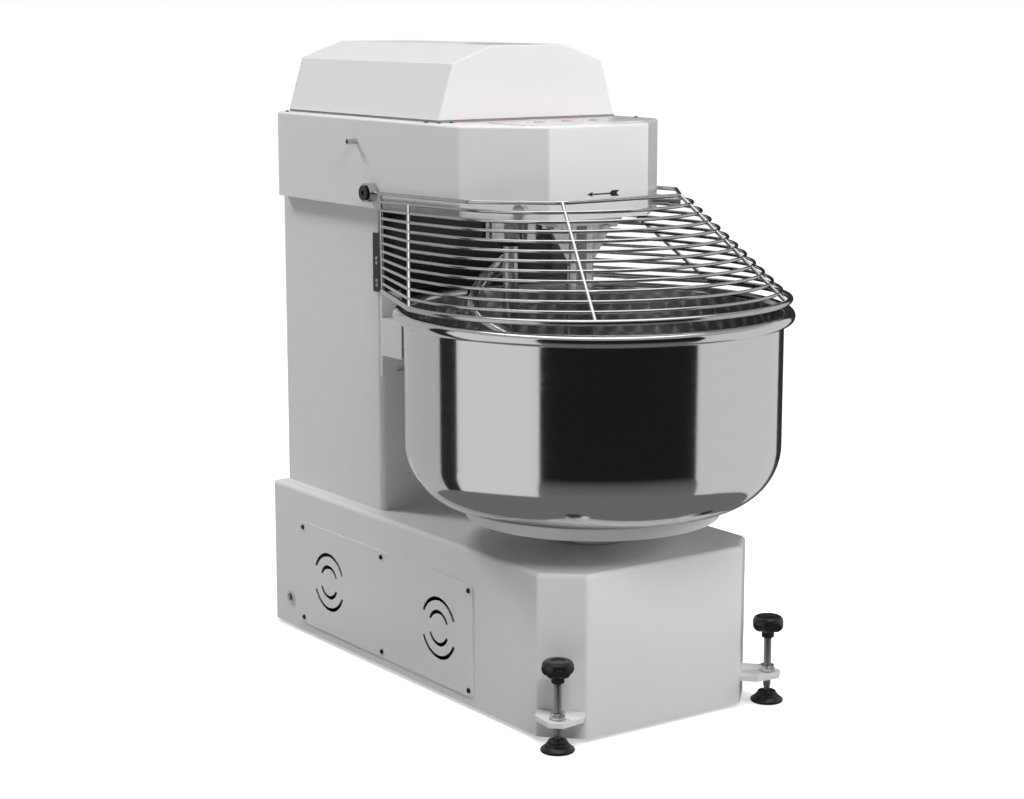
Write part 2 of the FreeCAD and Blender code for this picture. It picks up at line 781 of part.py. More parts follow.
body = prism([("-breaker_plate_length / 2", "0"), ("breaker_plate_length / 2", "0"),
              ("breaker_radius / 2", "-gusset_height"), ("-breaker_radius / 2", "-gusset_height")],
             "gusset_thickness", "XZ_Plane")
place(body, "breaker_x", "breaker_y + gusset_thickness / 2", "breaker_plate_z")
breaker_plate = box(("breaker_x - breaker_plate_length / 2", "breaker_y - breaker_plate_depth / 2",
                     "breaker_plate_z"),
                    ("breaker_plate_length", "breaker_plate_depth", "breaker_plate_thickness"))
breaker_post = rod("breaker_radius", "breaker_plate_z - breaker_bottom",
                   ("breaker_x", "breaker_y", "breaker_bottom"))
piece("breaker_bar", cut(fuse(breaker_post, breaker_plate, body), *bolt_holes))
piece("breaker_bolts", *[
    fuse(rod("breaker_bolt_radius", bolt_grip, (x, y, "breaker_plate_z")),
         hexagon("2 * breaker_bolt_head_radius", "breaker_bolt_head_height",
                 (x, y, "breaker_plate_z - breaker_bolt_head_height")))
    for x, y in BREAKER_BOLTS])

# Bowl, its support and shaft

rim_z = "rim_height"
body = turned([("0", "bowl_bottom"), ("bowl_radius", "bowl_bottom"), ("bowl_radius", rim_z),
               ("bowl_inner_radius", rim_z), ("bowl_inner_radius", "bowl_bottom + bowl_wall"),
               ("0", "bowl_bottom + bowl_wall")])


def circle_edge(radius, height):
    return lambda edge: (hasattr(edge.Curve, "Radius") and abs(edge.Curve.Radius - value(radius)) < 0.01
                         and abs(edge.Curve.Center.z - value(height)) < 0.01)


rounded(body, "bowl_corner_radius", circle_edge("bowl_inner_radius", "bowl_bottom + bowl_wall"))
rounded(body, "bowl_corner_radius + bowl_wall", circle_edge("bowl_radius", "bowl_bottom"))
bead = doc.addObject("Part::Torus", "bead")
bind(bead, Radius1="bowl_inner_radius + rim_bead_radius", Radius2="rim_bead_radius")
place(bead, z=rim_z)
piece("bowl", fuse(body, bead))

rim_under = "bowl_bottom - support_rim_height"
web_under = "bowl_bottom - support_plate"
shaft_fit = "bowl_shaft_radius + running_clearance"
body = turned([(shaft_fit, "base_top + hub_gap"), ("hub_radius", "base_top + hub_gap"),
               ("hub_radius", web_under), ("support_radius - support_rim_width", web_under),
               ("support_radius - support_rim_width", rim_under), ("support_radius", rim_under),
               ("support_radius", "bowl_bottom"), (shaft_fit, "bowl_bottom")])
piece("bowl_support", body)

groove_pitch = "(pulley_groove + groove_land)"


def pulley(radius, bore, grooves, bottom):
    """A grooved pulley, solid from its bore to its rim."""
    height = f"({grooves} * {groove_pitch} + groove_land)"
    points = [(bore, bottom), (radius, bottom)]
    for index in range(grooves):
        low = f"{bottom} + groove_land + {index} * {groove_pitch}"
        root = f"{radius} - belt_depth - groove_gap"
        high = f"{low} + pulley_groove"
        points += [(radius, low), (root, low), (root, high), (radius, high)]
    points += [(radius, f"{bottom} + {height}"), (bore, f"{bottom} + {height}")]
    return turned(points)


piece("bowl_pulley", pulley("bowl_pulley_radius", shaft_fit, 1, "bowl_pulley_bottom"))
piece("bowl_shaft", rod("bowl_shaft_radius", "bowl_bottom - bowl_pulley_bottom",
                        (0, 0, "bowl_pulley_bottom")))

# Bowl bearings and motor under the roof of the base

housing_low = "roof_under - bowl_housing_length"
bearing_bore = "bowl_shaft_radius + running_clearance"
shelf = "bowl_bearing_radius - bearing_shelf"
body = turned([("bowl_bearing_radius", housing_low), ("bowl_housing_radius", housing_low),
               ("bowl_housing_radius", "roof_under - bowl_housing_flange"),
               ("bowl_housing_flange_radius", "roof_under - bowl_housing_flange"),
               ("bowl_housing_flange_radius", "roof_under"), ("bowl_bearing_radius", "roof_under"),
               ("bowl_bearing_radius", "roof_under - bowl_bearing_height"),
               (shelf, "roof_under - bowl_bearing_height"),
               (shelf, f"{housing_low} + bowl_bearing_height"),
               ("bowl_bearing_radius", f"{housing_low} + bowl_bearing_height")])
piece("bowl_bearing_housing", body)
piece("bowl_bearings", *[tube("bowl_bearing_radius", bearing_bore, "bowl_bearing_height", (0, 0, low))
                         for low in (housing_low, "roof_under - bowl_bearing_height")])

motor_at = "bowl_motor_distance"
motor_low = "roof_under - bowl_motor_flange - bowl_motor_length"
motor_bore = rod("bowl_motor_shaft_radius + running_clearance", "bowl_motor_length", (0, motor_at, motor_low))
piece("bowl_motor", cut(fuse(
    rod("bowl_motor_flange_radius", "bowl_motor_flange", (0, motor_at, "roof_under - bowl_motor_flange")),
    rod("bowl_motor_radius", "bowl_motor_length", (0, motor_at, motor_low))), motor_bore))
small_pulley = pulley("bowl_motor_pulley_radius", "0", 1, "bowl_pulley_bottom")
place(small_pulley, y=motor_at)
motor_shaft = rod("bowl_motor_shaft_radius", f"{motor_low} + bowl_motor_length / 2 - bowl_pulley_bottom",
                  (0, motor_at, "bowl_pulley_bottom"))
piece("bowl_motor_pulley", fuse(small_pulley, motor_shaft))


def belt_loop(centre_a, radius_a, centre_b, radius_b, low, height):
    """The closed face round two circles, raised by a height."""
    span = centre_b - centre_a
    heading = math.atan2(span.y, span.x)
    lean = math.acos((radius_a - radius_b) / span.Length)

    def on(centre, radius, angle):
        return centre + Vector(radius * math.cos(angle), radius * math.sin(angle), low)

    left_a, right_a = (on(centre_a, radius_a, heading + turn) for turn in (lean, -lean))
    left_b, right_b = (on(centre_b, radius_b, heading + turn) for turn in (lean, -lean))
    edges = [
        Part.LineSegment(right_a, right_b),
        Part.Arc(right_b, on(centre_b, radius_b, heading), left_b),
        Part.LineSegment(left_b, left_a),
        Part.Arc(left_a, on(centre_a, radius_a, heading + math.pi), right_a),
    ]
    return Part.Face(Part.Wire([edge.toShape() for edge in edges])).extrude(Vector(0, 0, height))


def belt(centre_a, radius_a, centre_b, radius_b, low):
    """One belt in its grooves, a groove gap clear of both pulleys all round."""
    roots = [value(f"{radius} - belt_depth") for radius in (radius_a, radius_b)]
    depth = value("belt_depth - groove_gap")
    low, height = value(f"{low} + groove_land + groove_gap"), value("belt_width")
    outer = belt_loop(centre_a, roots[0] + depth, centre_b, roots[1] + depth, low, height)
    return outer.cut(belt_loop(centre_a, roots[0], centre_b, roots[1], low, height))


def shape_piece(label, shape):
    item = doc.addObject("Part::Feature", label + "_solid")
    item.Shape = shape
    return piece(label, item)


axis = Vector(0, 0, 0)
bowl_motor_axis = Vector(0, value(motor_at), 0)
shape_piece("bowl_belt", belt(axis, "bowl_pulley_radius", bowl_motor_axis, "bowl_motor_pulley_radius",
                              "bowl_pulley_bottom"))

# Spiral hook: a shank on the axis with a bar that winds out and down round it, and back in at the foot


def biarc(start, start_way, end, end_way):
    """Two arcs that leave and arrive along the given directions."""
    across = end - start
    both = start_way + end_way
    turn = 2 * (1 - start_way.dot(end_way))
    along = across.dot(both)
    reach = (math.sqrt(along ** 2 + turn * across.dot(across)) - along) / turn
    corner_a = start + start_way * reach
    corner_b = end - end_way * reach
    middle = (corner_a + corner_b) * 0.5
    arcs = []
    for low, corner, high in ((start, corner_a, middle), (middle, corner_b, end)):
        weight = (high - low).Length / (2 * reach)
        crest = (low + high + corner * (2 * weight)) * (0.5 / (1 + weight))
        arcs.append(Part.Arc(low, crest, high).toShape())
    return arcs


def bar_along(edges, radius, way):
    """A round bar along joined edges, which starts in the given direction."""
    start = edges[0].Vertexes[0].Point
    section = Part.Wire(Part.Circle(start, way, radius).toShape())
    return Part.Wire(edges).makePipeShell([section], True, False)


hook_top = value("hook_top")
hook_foot = value("bowl_bottom + bowl_wall + hook_floor_gap")
turn_radius = value("hook_turn_radius")
drop = value("hook_quarter_drop")
start_z = hook_top - value("hook_start_drop")
WIDENING_QUARTERS = 2
start_angle = math.radians(value("hook_start_angle"))
quarters = int((start_z - hook_foot) / drop)


def hook_point(quarter):
    widening = min(quarter / WIDENING_QUARTERS, 1)
    radius = turn_radius * (1 - (1 - widening) ** 2)
    angle = start_angle + quarter * math.pi / 2
    return Vector(radius * math.cos(angle), radius * math.sin(angle), start_z - drop * quarter)


def hook_way(quarter):
    step = 0.01
    return (hook_point(quarter + step) - hook_point(max(quarter - step, 0))).normalize()


edges = []
for quarter in range(quarters):
    edges += biarc(hook_point(quarter), hook_way(quarter), hook_point(quarter + 1), hook_way(quarter + 1))
last = hook_point(quarters)
last_angle = start_angle + quarters * math.pi / 2 + math.pi / 2
inward = Vector(-math.cos(last_angle), -math.sin(last_angle), 0)
edges += biarc(last, hook_way(quarters), Vector(0, 0, hook_foot), inward)
flight = bar_along(edges, value("hook_bar_radius"), hook_way(0))
shank_bottom = hook_foot - value("hook_bar_radius")
shank_length = value("head_bottom") - shank_bottom
shank = Part.makeCylinder(value("hook_shank_radius"), shank_length, Vector(0, 0, shank_bottom))
hook = shank.fuse(flight).removeSplitter()
hook.translate(Vector(value("spiral_x"), value("spiral_y"), 0))
shape_piece("spiral_hook", hook)

seal_cap_z = "head_bottom - seal_cap_height"
spiral_at = ("spiral_x", "spiral_y")
seal_bore = "hook_shank_radius + thread_gap"
piece("spiral_seal_cap", tube("seal_cap_radius", "shaft_seal_radius", "seal_cap_height",
                              (*spiral_at, seal_cap_z)))
seal_length = "shaft_seal_height + seal_cap_height - shaft_seal_gap"
piece("spiral_shaft_seal", tube("shaft_seal_radius", seal_bore, seal_length, (*spiral_at, "hook_top")))

# Spiral shaft, bearings and pulley in the head

SPIRAL_BELTS = 3
shaft_top = f"spiral_pulley_z + {SPIRAL_BELTS} * {groove_pitch} + groove_land"
piece("spiral_shaft", rod("spiral_shaft_radius", f"{shaft_top} - head_bottom", (*spiral_at, "head_bottom")))
housing_bore = "spiral_bearing_radius"
housing_top = "head_floor_top + spiral_housing_height"
inner_shelf = "spiral_bearing_radius - bearing_shelf"
body = turned([(housing_bore, "head_floor_top"), ("spiral_housing_flange_radius", "head_floor_top"),
               ("spiral_housing_flange_radius", "head_floor_top + spiral_housing_flange"),
               ("spiral_housing_radius", "head_floor_top + spiral_housing_flange"),
               ("spiral_housing_radius", housing_top), (housing_bore, housing_top),
               (housing_bore, f"{housing_top} - spiral_bearing_height"),
               (inner_shelf, f"{housing_top} - spiral_bearing_height"),
               (inner_shelf, "head_floor_top + spiral_bearing_height"),
               (housing_bore, "head_floor_top + spiral_bearing_height")])
place(body, *spiral_at)
piece("spiral_bearing_housing", body)
spiral_bore = "spiral_shaft_radius + running_clearance"
piece("spiral_bearings", *[tube(housing_bore, spiral_bore, "spiral_bearing_height", (*spiral_at, low))
                           for low in ("head_floor_top", f"{housing_top} - spiral_bearing_height")])
body = pulley("spiral_pulley_radius", spiral_bore, SPIRAL_BELTS, "spiral_pulley_z")
place(body, *spiral_at)
piece("spiral_pulley", body)

# Spiral motor in the column, hung under the head floor

motor_y = "spiral_motor_y"
flange_low = "head_bottom - spiral_motor_flange"
body_low = "head_bottom - spiral_motor_flange - spiral_motor_length"
cowl_low = f"{body_low} - spiral_motor_cowl"
motor = fuse(
    rod("spiral_motor_flange_radius", "spiral_motor_flange", (0, motor_y, flange_low)),
    rod("spiral_motor_radius", "spiral_motor_length", (0, motor_y, body_low)),
    rod("spiral_motor_radius - spiral_motor_flange / 2", "spiral_motor_cowl", (0, motor_y, cowl_low)))
bore = rod("spiral_motor_shaft_radius + running_clearance", "spiral_motor_flange + spiral_motor_length / 2",
           (0, motor_y, "head_bottom - spiral_motor_flange - spiral_motor_length / 2"))
piece("spiral_motor", cut(motor, bore))
small_pulley = pulley("spiral_motor_pulley_radius", "0", SPIRAL_BELTS, "spiral_pulley_z")
place(small_pulley, y=motor_y)
shaft_low = "head_bottom - spiral_motor_flange - spiral_motor_length / 4"
motor_shaft = rod("spiral_motor_shaft_radius", f"spiral_pulley_z - ({shaft_low})", (0, motor_y, shaft_low))
piece("spiral_motor_pulley", fuse(small_pulley, motor_shaft))
spiral_axis = Vector(value("spiral_x"), value("spiral_y"), 0)
spiral_motor_axis = Vector(0, value(motor_y), 0)
shape_piece("spiral_belts", Part.makeCompound([
    belt(spiral_axis, "spiral_pulley_radius", spiral_motor_axis, "spiral_motor_pulley_radius",
         f"spiral_pulley_z + {index} * {groove_pitch}")
    for index in range(SPIRAL_BELTS)]))

# Bowl guard, a welded wire cage, drawn flat about its pivot and then tilted

wires = int(value("guard_wire_count"))
pitch = value("guard_wire_pitch")
pivot = Vector(0, value("pivot_y"), value("pivot_z"))
arm_x = value("arm_x")


def between(top, low, index):
    """A size that changes evenly from the first wire to the lowest one."""
    first, final = value(top), value(low)
    return first + (final - first) * (index - 1) / (wires - 1)


def level(index):
    return pivot.z - pitch * index


def arc_point(index, angle):
    radius = between("guard_top_arc", "guard_low_arc", index)
    centre = between("guard_top_arc_y", "guard_low_arc_y", index)
    return Vector(radius * math.cos(angle), centre + radius * math.sin(angle), level(index))


def kink(index):
    return Vector(-between("arm_x", "guard_kink_low_x", index),
                  between("guard_kink_top_y", "guard_kink_low_y", index), level(index))


def mirrored(point):
    return Vector(-point.x, point.y, point.z)


def round_wire(index):
    """A wire from rod to rod: straight to the side rib, straight on to the front arc, and round it."""
    rear = Vector(-arm_x, value("guard_rod_y"), level(index))
    bend = kink(index)
    centre = Vector(0, between("guard_top_arc_y", "guard_low_arc_y", index), level(index))
    radius = between("guard_top_arc", "guard_low_arc", index)
    reach = bend - centre
    angle = math.atan2(reach.y, reach.x) + math.acos(radius / reach.Length)
    touch = arc_point(index, angle)
    points = [rear, bend, touch]
    edges = [Part.LineSegment(low, high).toShape() for low, high in zip(points, points[1:])]
    edges.append(Part.Arc(touch, arc_point(index, 1.5 * math.pi), mirrored(touch)).toShape())
    back = [mirrored(point) for point in reversed(points)]
    edges += [Part.LineSegment(low, high).toShape() for low, high in zip(back, back[1:])]
    thick = value("guard_bottom_radius" if index == wires else "guard_wire_radius")
    section = Part.Wire(Part.Circle(rear, bend - rear, thick).toShape())
    return Part.Wire(edges).makePipeShell([section], True, False, 1)


def bent_path(points, radius):
    """Straight runs joined by tangent arcs of one radius."""
    edges = []
    start = points[0]
    for before, corner, after in zip(points, points[1:], points[2:]):
        back = (before - corner).normalize()
        ahead = (after - corner).normalize()
        half = back.getAngle(ahead) / 2
        trim = radius / math.tan(half)
        inward = (back + ahead).normalize()
        low, high = corner + back * trim, corner + ahead * trim
        middle = corner + inward * (radius / math.sin(half) - radius)
        edges += [Part.LineSegment(start, low).toShape(), Part.Arc(low, middle, high).toShape()]
        start = high
    edges.append(Part.LineSegment(start, points[-1]).toShape())
    return edges


def straight_bar(low, high, radius):
    return Part.makeCylinder(radius, (high - low).Length, low, high - low)


rib_angle = math.radians(180 + value("guard_rib_angle"))
front_corner = arc_point(0, rib_angle)
side_corner = Vector(-arm_x, value("guard_corner_y"), level(0))
arm_end = Vector(-arm_x, pivot.y, level(0))
frame_points = [arm_end, side_corner, front_corner]
frame_points += [mirrored(point) for point in reversed(frame_points)]
frame_path = bent_path(frame_points, value("guard_bend_radius"))
cage = [bar_along(frame_path, value("guard_frame_radius"), Vector(0, -1, 0))]
cage += [round_wire(index) for index in range(1, wires + 1)]
rib_radius = value("guard_rib_radius")
rod_top = Vector(-arm_x, value("guard_rod_y"), level(0))
rod_low = Vector(rod_top.x, rod_top.y, level(wires))
for low, high in ((rod_low, rod_top), (kink(wires), kink(1)), (arc_point(wires, rib_angle), front_corner)):
    cage += [straight_bar(low, high, rib_radius), straight_bar(mirrored(low), mirrored(high), rib_radius)]
boss_bore = value("pivot_bolt_radius + running_clearance")
holes = []
for side in (-1, 1):
    inner = Vector(side * value("boss_inner_x"), pivot.y, pivot.z)
    cage.append(Part.makeCylinder(value("boss_radius"), value("boss_length"), inner, Vector(side, 0, 0)))
    holes.append(Part.makeCylinder(boss_bore, value("boss_length"), inner, Vector(side, 0, 0)))
guard = cage[0].multiFuse(cage[1:]).cut(Part.makeCompound(holes)).removeSplitter()
guard.rotate(pivot, Vector(1, 0, 0), -value("guard_tilt"))
shape_piece("guard_cage", guard)


def pivot_bolt(side):
    """A socket-head shoulder bolt through the boss and the head's wall, with its washer and nut."""
    shank_length = "boss_length + 2 * boss_gap + head_wall + pivot_nut_height"
    outer = "head_half_width + boss_length + 2 * boss_gap"
    inner = "head_half_width - head_wall - pivot_nut_height"
    at = ("pivot_y", "pivot_z")

    def along(low, high):
        """The lower end of a run between two distances from the middle plane."""
        return f"-({high})" if side < 0 else low

    end = f"{outer} + pivot_head_height"
    head = rod("pivot_head_radius", "pivot_head_height", (along(outer, end), *at), "x")
    socket = hexagon("pivot_socket_width", "pivot_socket_depth",
                     (along(f"{end} - pivot_socket_depth", end), *at), "x")
    shank = rod("pivot_bolt_radius", shank_length, (along(inner, outer), *at), "x")
    nut_end = f"{inner} + pivot_nut_height"
    nut = hexagon("pivot_nut_width", "pivot_nut_height", (along(inner, nut_end), *at), "x")
    washer_edge = "boss_gap - running_clearance"
    washer_end = f"head_half_width + {washer_edge}"
    washer = rod("pivot_head_radius", washer_edge, (along("head_half_width", washer_end), *at), "x")
    return cut(fuse(head, shank, nut, washer), socket)


piece("guard_pivot_bolts", *both_sides(pivot_bolt))

# Guard rest posts on the head's chamfers with their caps, and the stop pin on its left side

chamfer_way = "(1 / sqrt(2))"
post_reach = "(post_length + post_cap_length / 2)"
post_base_x = "(head_half_width - head_chamfer + post_along / sqrt(2))"
post_base_y = "(post_along / sqrt(2) - head_front)"
rest_y = f"({post_base_y} - {post_reach} * {chamfer_way})"
rod_z = f"pivot_z + (pivot_y - {rest_y}) * tan(guard_tilt)"
post_z = (f"{rod_z} - (guard_frame_radius + rest_gap) / cos(guard_tilt)"
          " - post_cap_radius - post_cap_length / 2 * tan(guard_tilt)")


def chamfer_rod(side, radius, start, length):
    """A rod square to a front chamfer of the head, which starts at a distance from its face."""
    turn = FreeCAD.Rotation(Vector(0, 0, 1), Vector(side, -1, 0))
    return rod(radius, length, (f"{side} * ({post_base_x} + {start} * {chamfer_way})",
                                f"{post_base_y} - {start} * {chamfer_way}", post_z), turn=turn)


stop_pin_at = ("-(head_half_width + stop_pin_length)", "pivot_y + stop_pin_behind", "pivot_z + stop_pin_lift")
stop_pin = rod("stop_pin_radius", "stop_pin_length", stop_pin_at, "x")
piece("guard_stops", *both_sides(lambda side: chamfer_rod(side, "post_radius", "0", "post_length")), stop_pin)
piece("guard_post_caps", *both_sides(lambda side: chamfer_rod(
    side, "post_cap_radius", "post_length", "post_cap_length")))

# Rear shield: a sheet on the front of the column, past its right side and folded back at both ends

shield_front = "column_front - shield_thickness"
shield_sheet = box(("shield_left", shield_front, "shield_bottom"),
                   ("shield_right - shield_left", "shield_thickness", "shield_height"))
shield_flanges = [box((edge, shield_front, "shield_bottom"),
                      ("shield_thickness", "shield_flange + shield_thickness", "shield_flange_height"))
                  for edge in ("shield_left", "shield_right - shield_thickness")]
piece("rear_shield", fuse(shield_sheet, *shield_flanges))

# Steadying rollers behind the bowl, their pins, brackets and covers

lug_low = "roller_bottom - bracket_lug_gap - bracket_lug"
lug_high = "roller_bottom + roller_height + bracket_lug_gap"
bracket_y = "column_front - bracket_thickness"


def side_box(side, inner, outer, y, z, depth, height):
    """A block between two distances from the middle plane, on one side."""
    return box((inner if side > 0 else f"-({outer})", y, z), (f"{outer} - ({inner})", depth, height))


def roller_bracket(side):
    """A plate on the column's front with two lugs that hold the roller's pin."""
    plate = side_box(side, "bracket_inner_x", "column_half_width", bracket_y, "bracket_bottom",
                     "bracket_thickness", "bracket_height")
    lugs = [side_box(side, "roller_x - bracket_lug_half_width", "roller_x + bracket_lug_half_width",
                     "roller_y", z, f"{bracket_y} - roller_y", "bracket_lug") for z in (lug_low, lug_high)]
    noses = [rod("bracket_lug_half_width", "bracket_lug", (f"{side} * roller_x", "roller_y", z))
             for z in (lug_low, lug_high)]
    pin_hole = rod("roller_pin_radius + screw_clearance", f"{lug_high} + bracket_lug - ({lug_low})",
                   (f"{side} * roller_x", "roller_y", lug_low))
    slots = [side_box(side, "roller_x - bracket_slot_length", "roller_x + bracket_slot_length", bracket_y,
                      f"{z} - bracket_slot_radius", "bracket_thickness", "2 * bracket_slot_radius")
             for z in ("bracket_bottom + bracket_slot_inset",
                       "bracket_bottom + bracket_height - bracket_slot_inset")]
    return cut(fuse(plate, *lugs, *noses), pin_hole, *slots)


piece("roller_brackets", *both_sides(roller_bracket))


def roller_pin(side):
    at = (f"{side} * roller_x", "roller_y")
    shank = rod("roller_pin_radius", f"{lug_high} + bracket_lug - ({lug_low})", (*at, lug_low))
    return fuse(shank, rod("roller_pin_head_radius", "roller_pin_head", (*at, f"{lug_high} + bracket_lug")))


piece("roller_pins", *both_sides(roller_pin))
for name, side in (("left_roller", -1), ("right_roller", 1)):
    piece(name, tube("roller_radius", "roller_pin_radius + running_clearance", "roller_height",
                     (f"{side} * roller_x", "roller_y", "roller_bottom")))


def roller_cover(side):
    """A sheet cover over the roller, open towards the bowl."""
    wall = "roller_cover_wall"
    outer = side_box(side, "bracket_inner_x", "column_half_width", f"{bracket_y} - roller_cover_reach",
                     "roller_cover_bottom", "roller_cover_reach", "roller_cover_height")
    inner = side_box(side, "bracket_inner_x - overcut", f"column_half_width - {wall}",
                     f"{bracket_y} - roller_cover_reach - overcut", f"roller_cover_bottom + {wall}",
                     "roller_cover_reach + 2 * overcut", f"roller_cover_height - 2 * {wall}")
    bowl_way = rod("rim_radius", "roller_cover_height", (0, 0, "roller_cover_bottom"))
    return cut(outer, inner, bowl_way)


piece("roller_covers", *both_sides(roller_cover))

# Levelling feet: a tab with a welded nut on each front chamfer, a pad, a screw and a knob


def foot_place(side):
    return f"{side} * foot_x", "foot_y"


def foot_tab(side):
    """A plate as wide as the chamfer that narrows to a short front edge, with a nut welded on it."""
    front = "foot_offset + foot_tab_overhang"
    plate = prism([("-foot_tab_half_width", "0"), ("foot_tab_half_width", "0"),
                   ("foot_tab_half_width", "foot_tab_shoulder"), ("foot_tab_nose_half_width", front),
                   ("-foot_tab_nose_half_width", front), ("-foot_tab_half_width", "foot_tab_shoulder")],
                  "foot_tab_thickness")
    plate.Placement.Rotation = FreeCAD.Rotation(Vector(0, 1, 0), Vector(side, -1, 0))
    place(plate, f"{side} * (base_half_width - base_chamfer / 2)", "base_chamfer / 2 - base_front",
          "foot_tab_bottom")
    nut_low = "foot_tab_bottom + foot_tab_thickness"
    nut = hexagon("foot_nut_width", "foot_nut_height", (*foot_place(side), nut_low))
    thread = rod("foot_screw_radius + thread_gap", "foot_tab_thickness + foot_nut_height",
                 (*foot_place(side), "foot_tab_bottom"))
    return cut(fuse(plate, nut), thread)


piece("foot_tabs", *both_sides(foot_tab))
for name, side in (("left", -1), ("right", 1)):
    at = foot_place(side)
    body = turned([("0", "0"), ("foot_pad_radius", "0"), ("foot_pad_radius", "foot_pad_edge"),
                   ("foot_pad_top_radius", "foot_pad_height"), ("0", "foot_pad_height")])
    place(body, *at)
    piece(f"{name}_foot_pad", body)
    neck_top = "screw_bottom + foot_neck_height"
    body = turned([("0", "screw_bottom"), ("foot_neck_radius", "screw_bottom"),
                   ("foot_neck_radius", neck_top),
                   ("foot_screw_radius", f"{neck_top} + foot_screw_radius - foot_neck_radius"),
                   ("foot_screw_radius", "screw_top"), ("0", "screw_top")])
    place(body, *at)
    piece(f"{name}_foot_screw", body)
    knob_low = "screw_top - knob_stem_height"
    lobe_low = "screw_top"
    stem = tube("knob_stem_radius", "foot_screw_radius", "knob_stem_height", (*at, knob_low))
    lobe_high = f"{lobe_low} + knob_height"
    crown = turned([("0", lobe_low), ("knob_radius - knob_edge", lobe_low),
                    ("knob_radius", f"{lobe_low} + knob_edge"), ("knob_radius", f"{lobe_high} - knob_edge"),
                    ("knob_radius - knob_edge", lobe_high), ("0", lobe_high)])
    place(crown, *at)
    reach = "(knob_radius + knob_flute_radius / 2)"
    flutes = []
    for index in range(int(value("knob_flutes"))):
        angle = 360 * index / int(value("knob_flutes"))
        flute_x = f"{at[0]} + {reach} * cos({angle})"
        flute_y = f"{at[1]} + {reach} * sin({angle})"
        flutes.append(rod("knob_flute_radius", "knob_height", (flute_x, flute_y, lobe_low)))
    piece(f"{name}_foot_knob", fuse(stem, cut(crown, *flutes)))

# Transport wheels in pairs on axles, in forks on the base floor

AXLES = {
    "rear": ("rear_wheel_y", "wheel_radius"),
    "front": ("front_wheel_y", "wheel_radius + front_wheel_lift"),
}


def fork(x, y, axle_z):
    """Two cheeks on the floor plate with a crown over the wheel."""
    crown_low = f"{axle_z} + wheel_radius + fork_gap"
    cheeks = [box((f"{x} + {edge}", f"{y} - fork_half_length", "floor_top"),
                  ("fork_cheek", "2 * fork_half_length", f"{crown_low} - floor_top"))
              for edge in ("-fork_half_width", "(fork_half_width - fork_cheek)")]
    crown = box((f"{x} - fork_half_width", f"{y} - fork_half_length", crown_low),
                ("2 * fork_half_width", "2 * fork_half_length", "fork_crown"))
    bore = rod("axle_radius + running_clearance", "2 * fork_half_width",
               (f"{x} - fork_half_width", y, axle_z), "x")
    return cut(fuse(*cheeks, crown), bore)


piece("wheel_forks", *[fork(f"{side} * wheel_x", y, z) for y, z in AXLES.values() for side in (-1, 1)])
for name, (y, z) in AXLES.items():
    end = "wheel_x + fork_half_width + axle_flange"
    spindle = rod("axle_radius", f"2 * ({end})", (f"-({end})", y, z), "x")
    collars = both_sides(lambda side: rod("axle_flange_radius", "axle_flange - fork_gap / 2",
                                          (f"{side} * ({end} - axle_flange / 2 + fork_gap / 4)"
                                           " - axle_flange / 2 + fork_gap / 4", y, z), "x"))
    piece(f"{name}_axle", fuse(spindle, *collars))
    piece(f"{name}_wheels", *both_sides(lambda side: tube(
        "wheel_radius", "axle_radius + running_clearance", "wheel_width",
        (f"{side} * wheel_x - wheel_width / 2", y, z), "x")))

# Check every shape, then write one file for each piece

doc.recompute()
failed = [item.Label for item in doc.Objects if {"Invalid", "Error"} & set(item.State)]
failed += [item.Label for item in pieces if item.Shape.isNull() or not item.Shape.isValid()]
if failed:
    raise RuntimeError(f"these did not build: {sorted(set(failed))}")
os.makedirs("parts", exist_ok=True)
for item in pieces:
    item.Shape.exportStep(f"parts/{item.Label}.step")
    print(f"{item.Label}: {len(item.Shape.Solids)} solids, {item.Shape.Volume / 1000:.1f} cm3")
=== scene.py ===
"""The looks of a floor-standing spiral dough mixer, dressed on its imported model.

Metres, +Z up, the front to -Y.
"""
import json
import math

import bmesh
import bpy
from mathutils import Matrix, Vector

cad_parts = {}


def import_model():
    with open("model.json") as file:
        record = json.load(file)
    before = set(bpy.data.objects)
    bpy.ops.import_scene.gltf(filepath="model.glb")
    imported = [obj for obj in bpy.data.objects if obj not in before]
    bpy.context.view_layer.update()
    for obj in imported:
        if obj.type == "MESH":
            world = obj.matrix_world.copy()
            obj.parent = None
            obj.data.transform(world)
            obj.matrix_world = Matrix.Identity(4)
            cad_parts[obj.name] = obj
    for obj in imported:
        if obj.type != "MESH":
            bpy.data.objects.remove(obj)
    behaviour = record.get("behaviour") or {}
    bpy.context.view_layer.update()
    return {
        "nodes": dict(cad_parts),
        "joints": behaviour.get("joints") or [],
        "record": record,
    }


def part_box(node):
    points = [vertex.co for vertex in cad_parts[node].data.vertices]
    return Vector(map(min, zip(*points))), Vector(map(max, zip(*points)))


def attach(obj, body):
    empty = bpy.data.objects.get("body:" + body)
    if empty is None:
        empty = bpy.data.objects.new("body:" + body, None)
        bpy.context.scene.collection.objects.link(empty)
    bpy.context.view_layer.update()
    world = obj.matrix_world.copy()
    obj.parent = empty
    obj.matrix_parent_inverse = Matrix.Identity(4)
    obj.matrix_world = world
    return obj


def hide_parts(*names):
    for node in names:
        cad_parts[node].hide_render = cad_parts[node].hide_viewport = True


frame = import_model()
NODES = frame["nodes"]
JOINTS = {joint["name"]: joint for joint in frame["joints"]}
MM = 0.001
BOWL_AXIS = Vector(JOINTS["bowl_spin"]["pos_m"]).xy
BOWL_CORNER = 125 * MM
HEXAGON_TURN = math.radians(60)


# Shader expressions

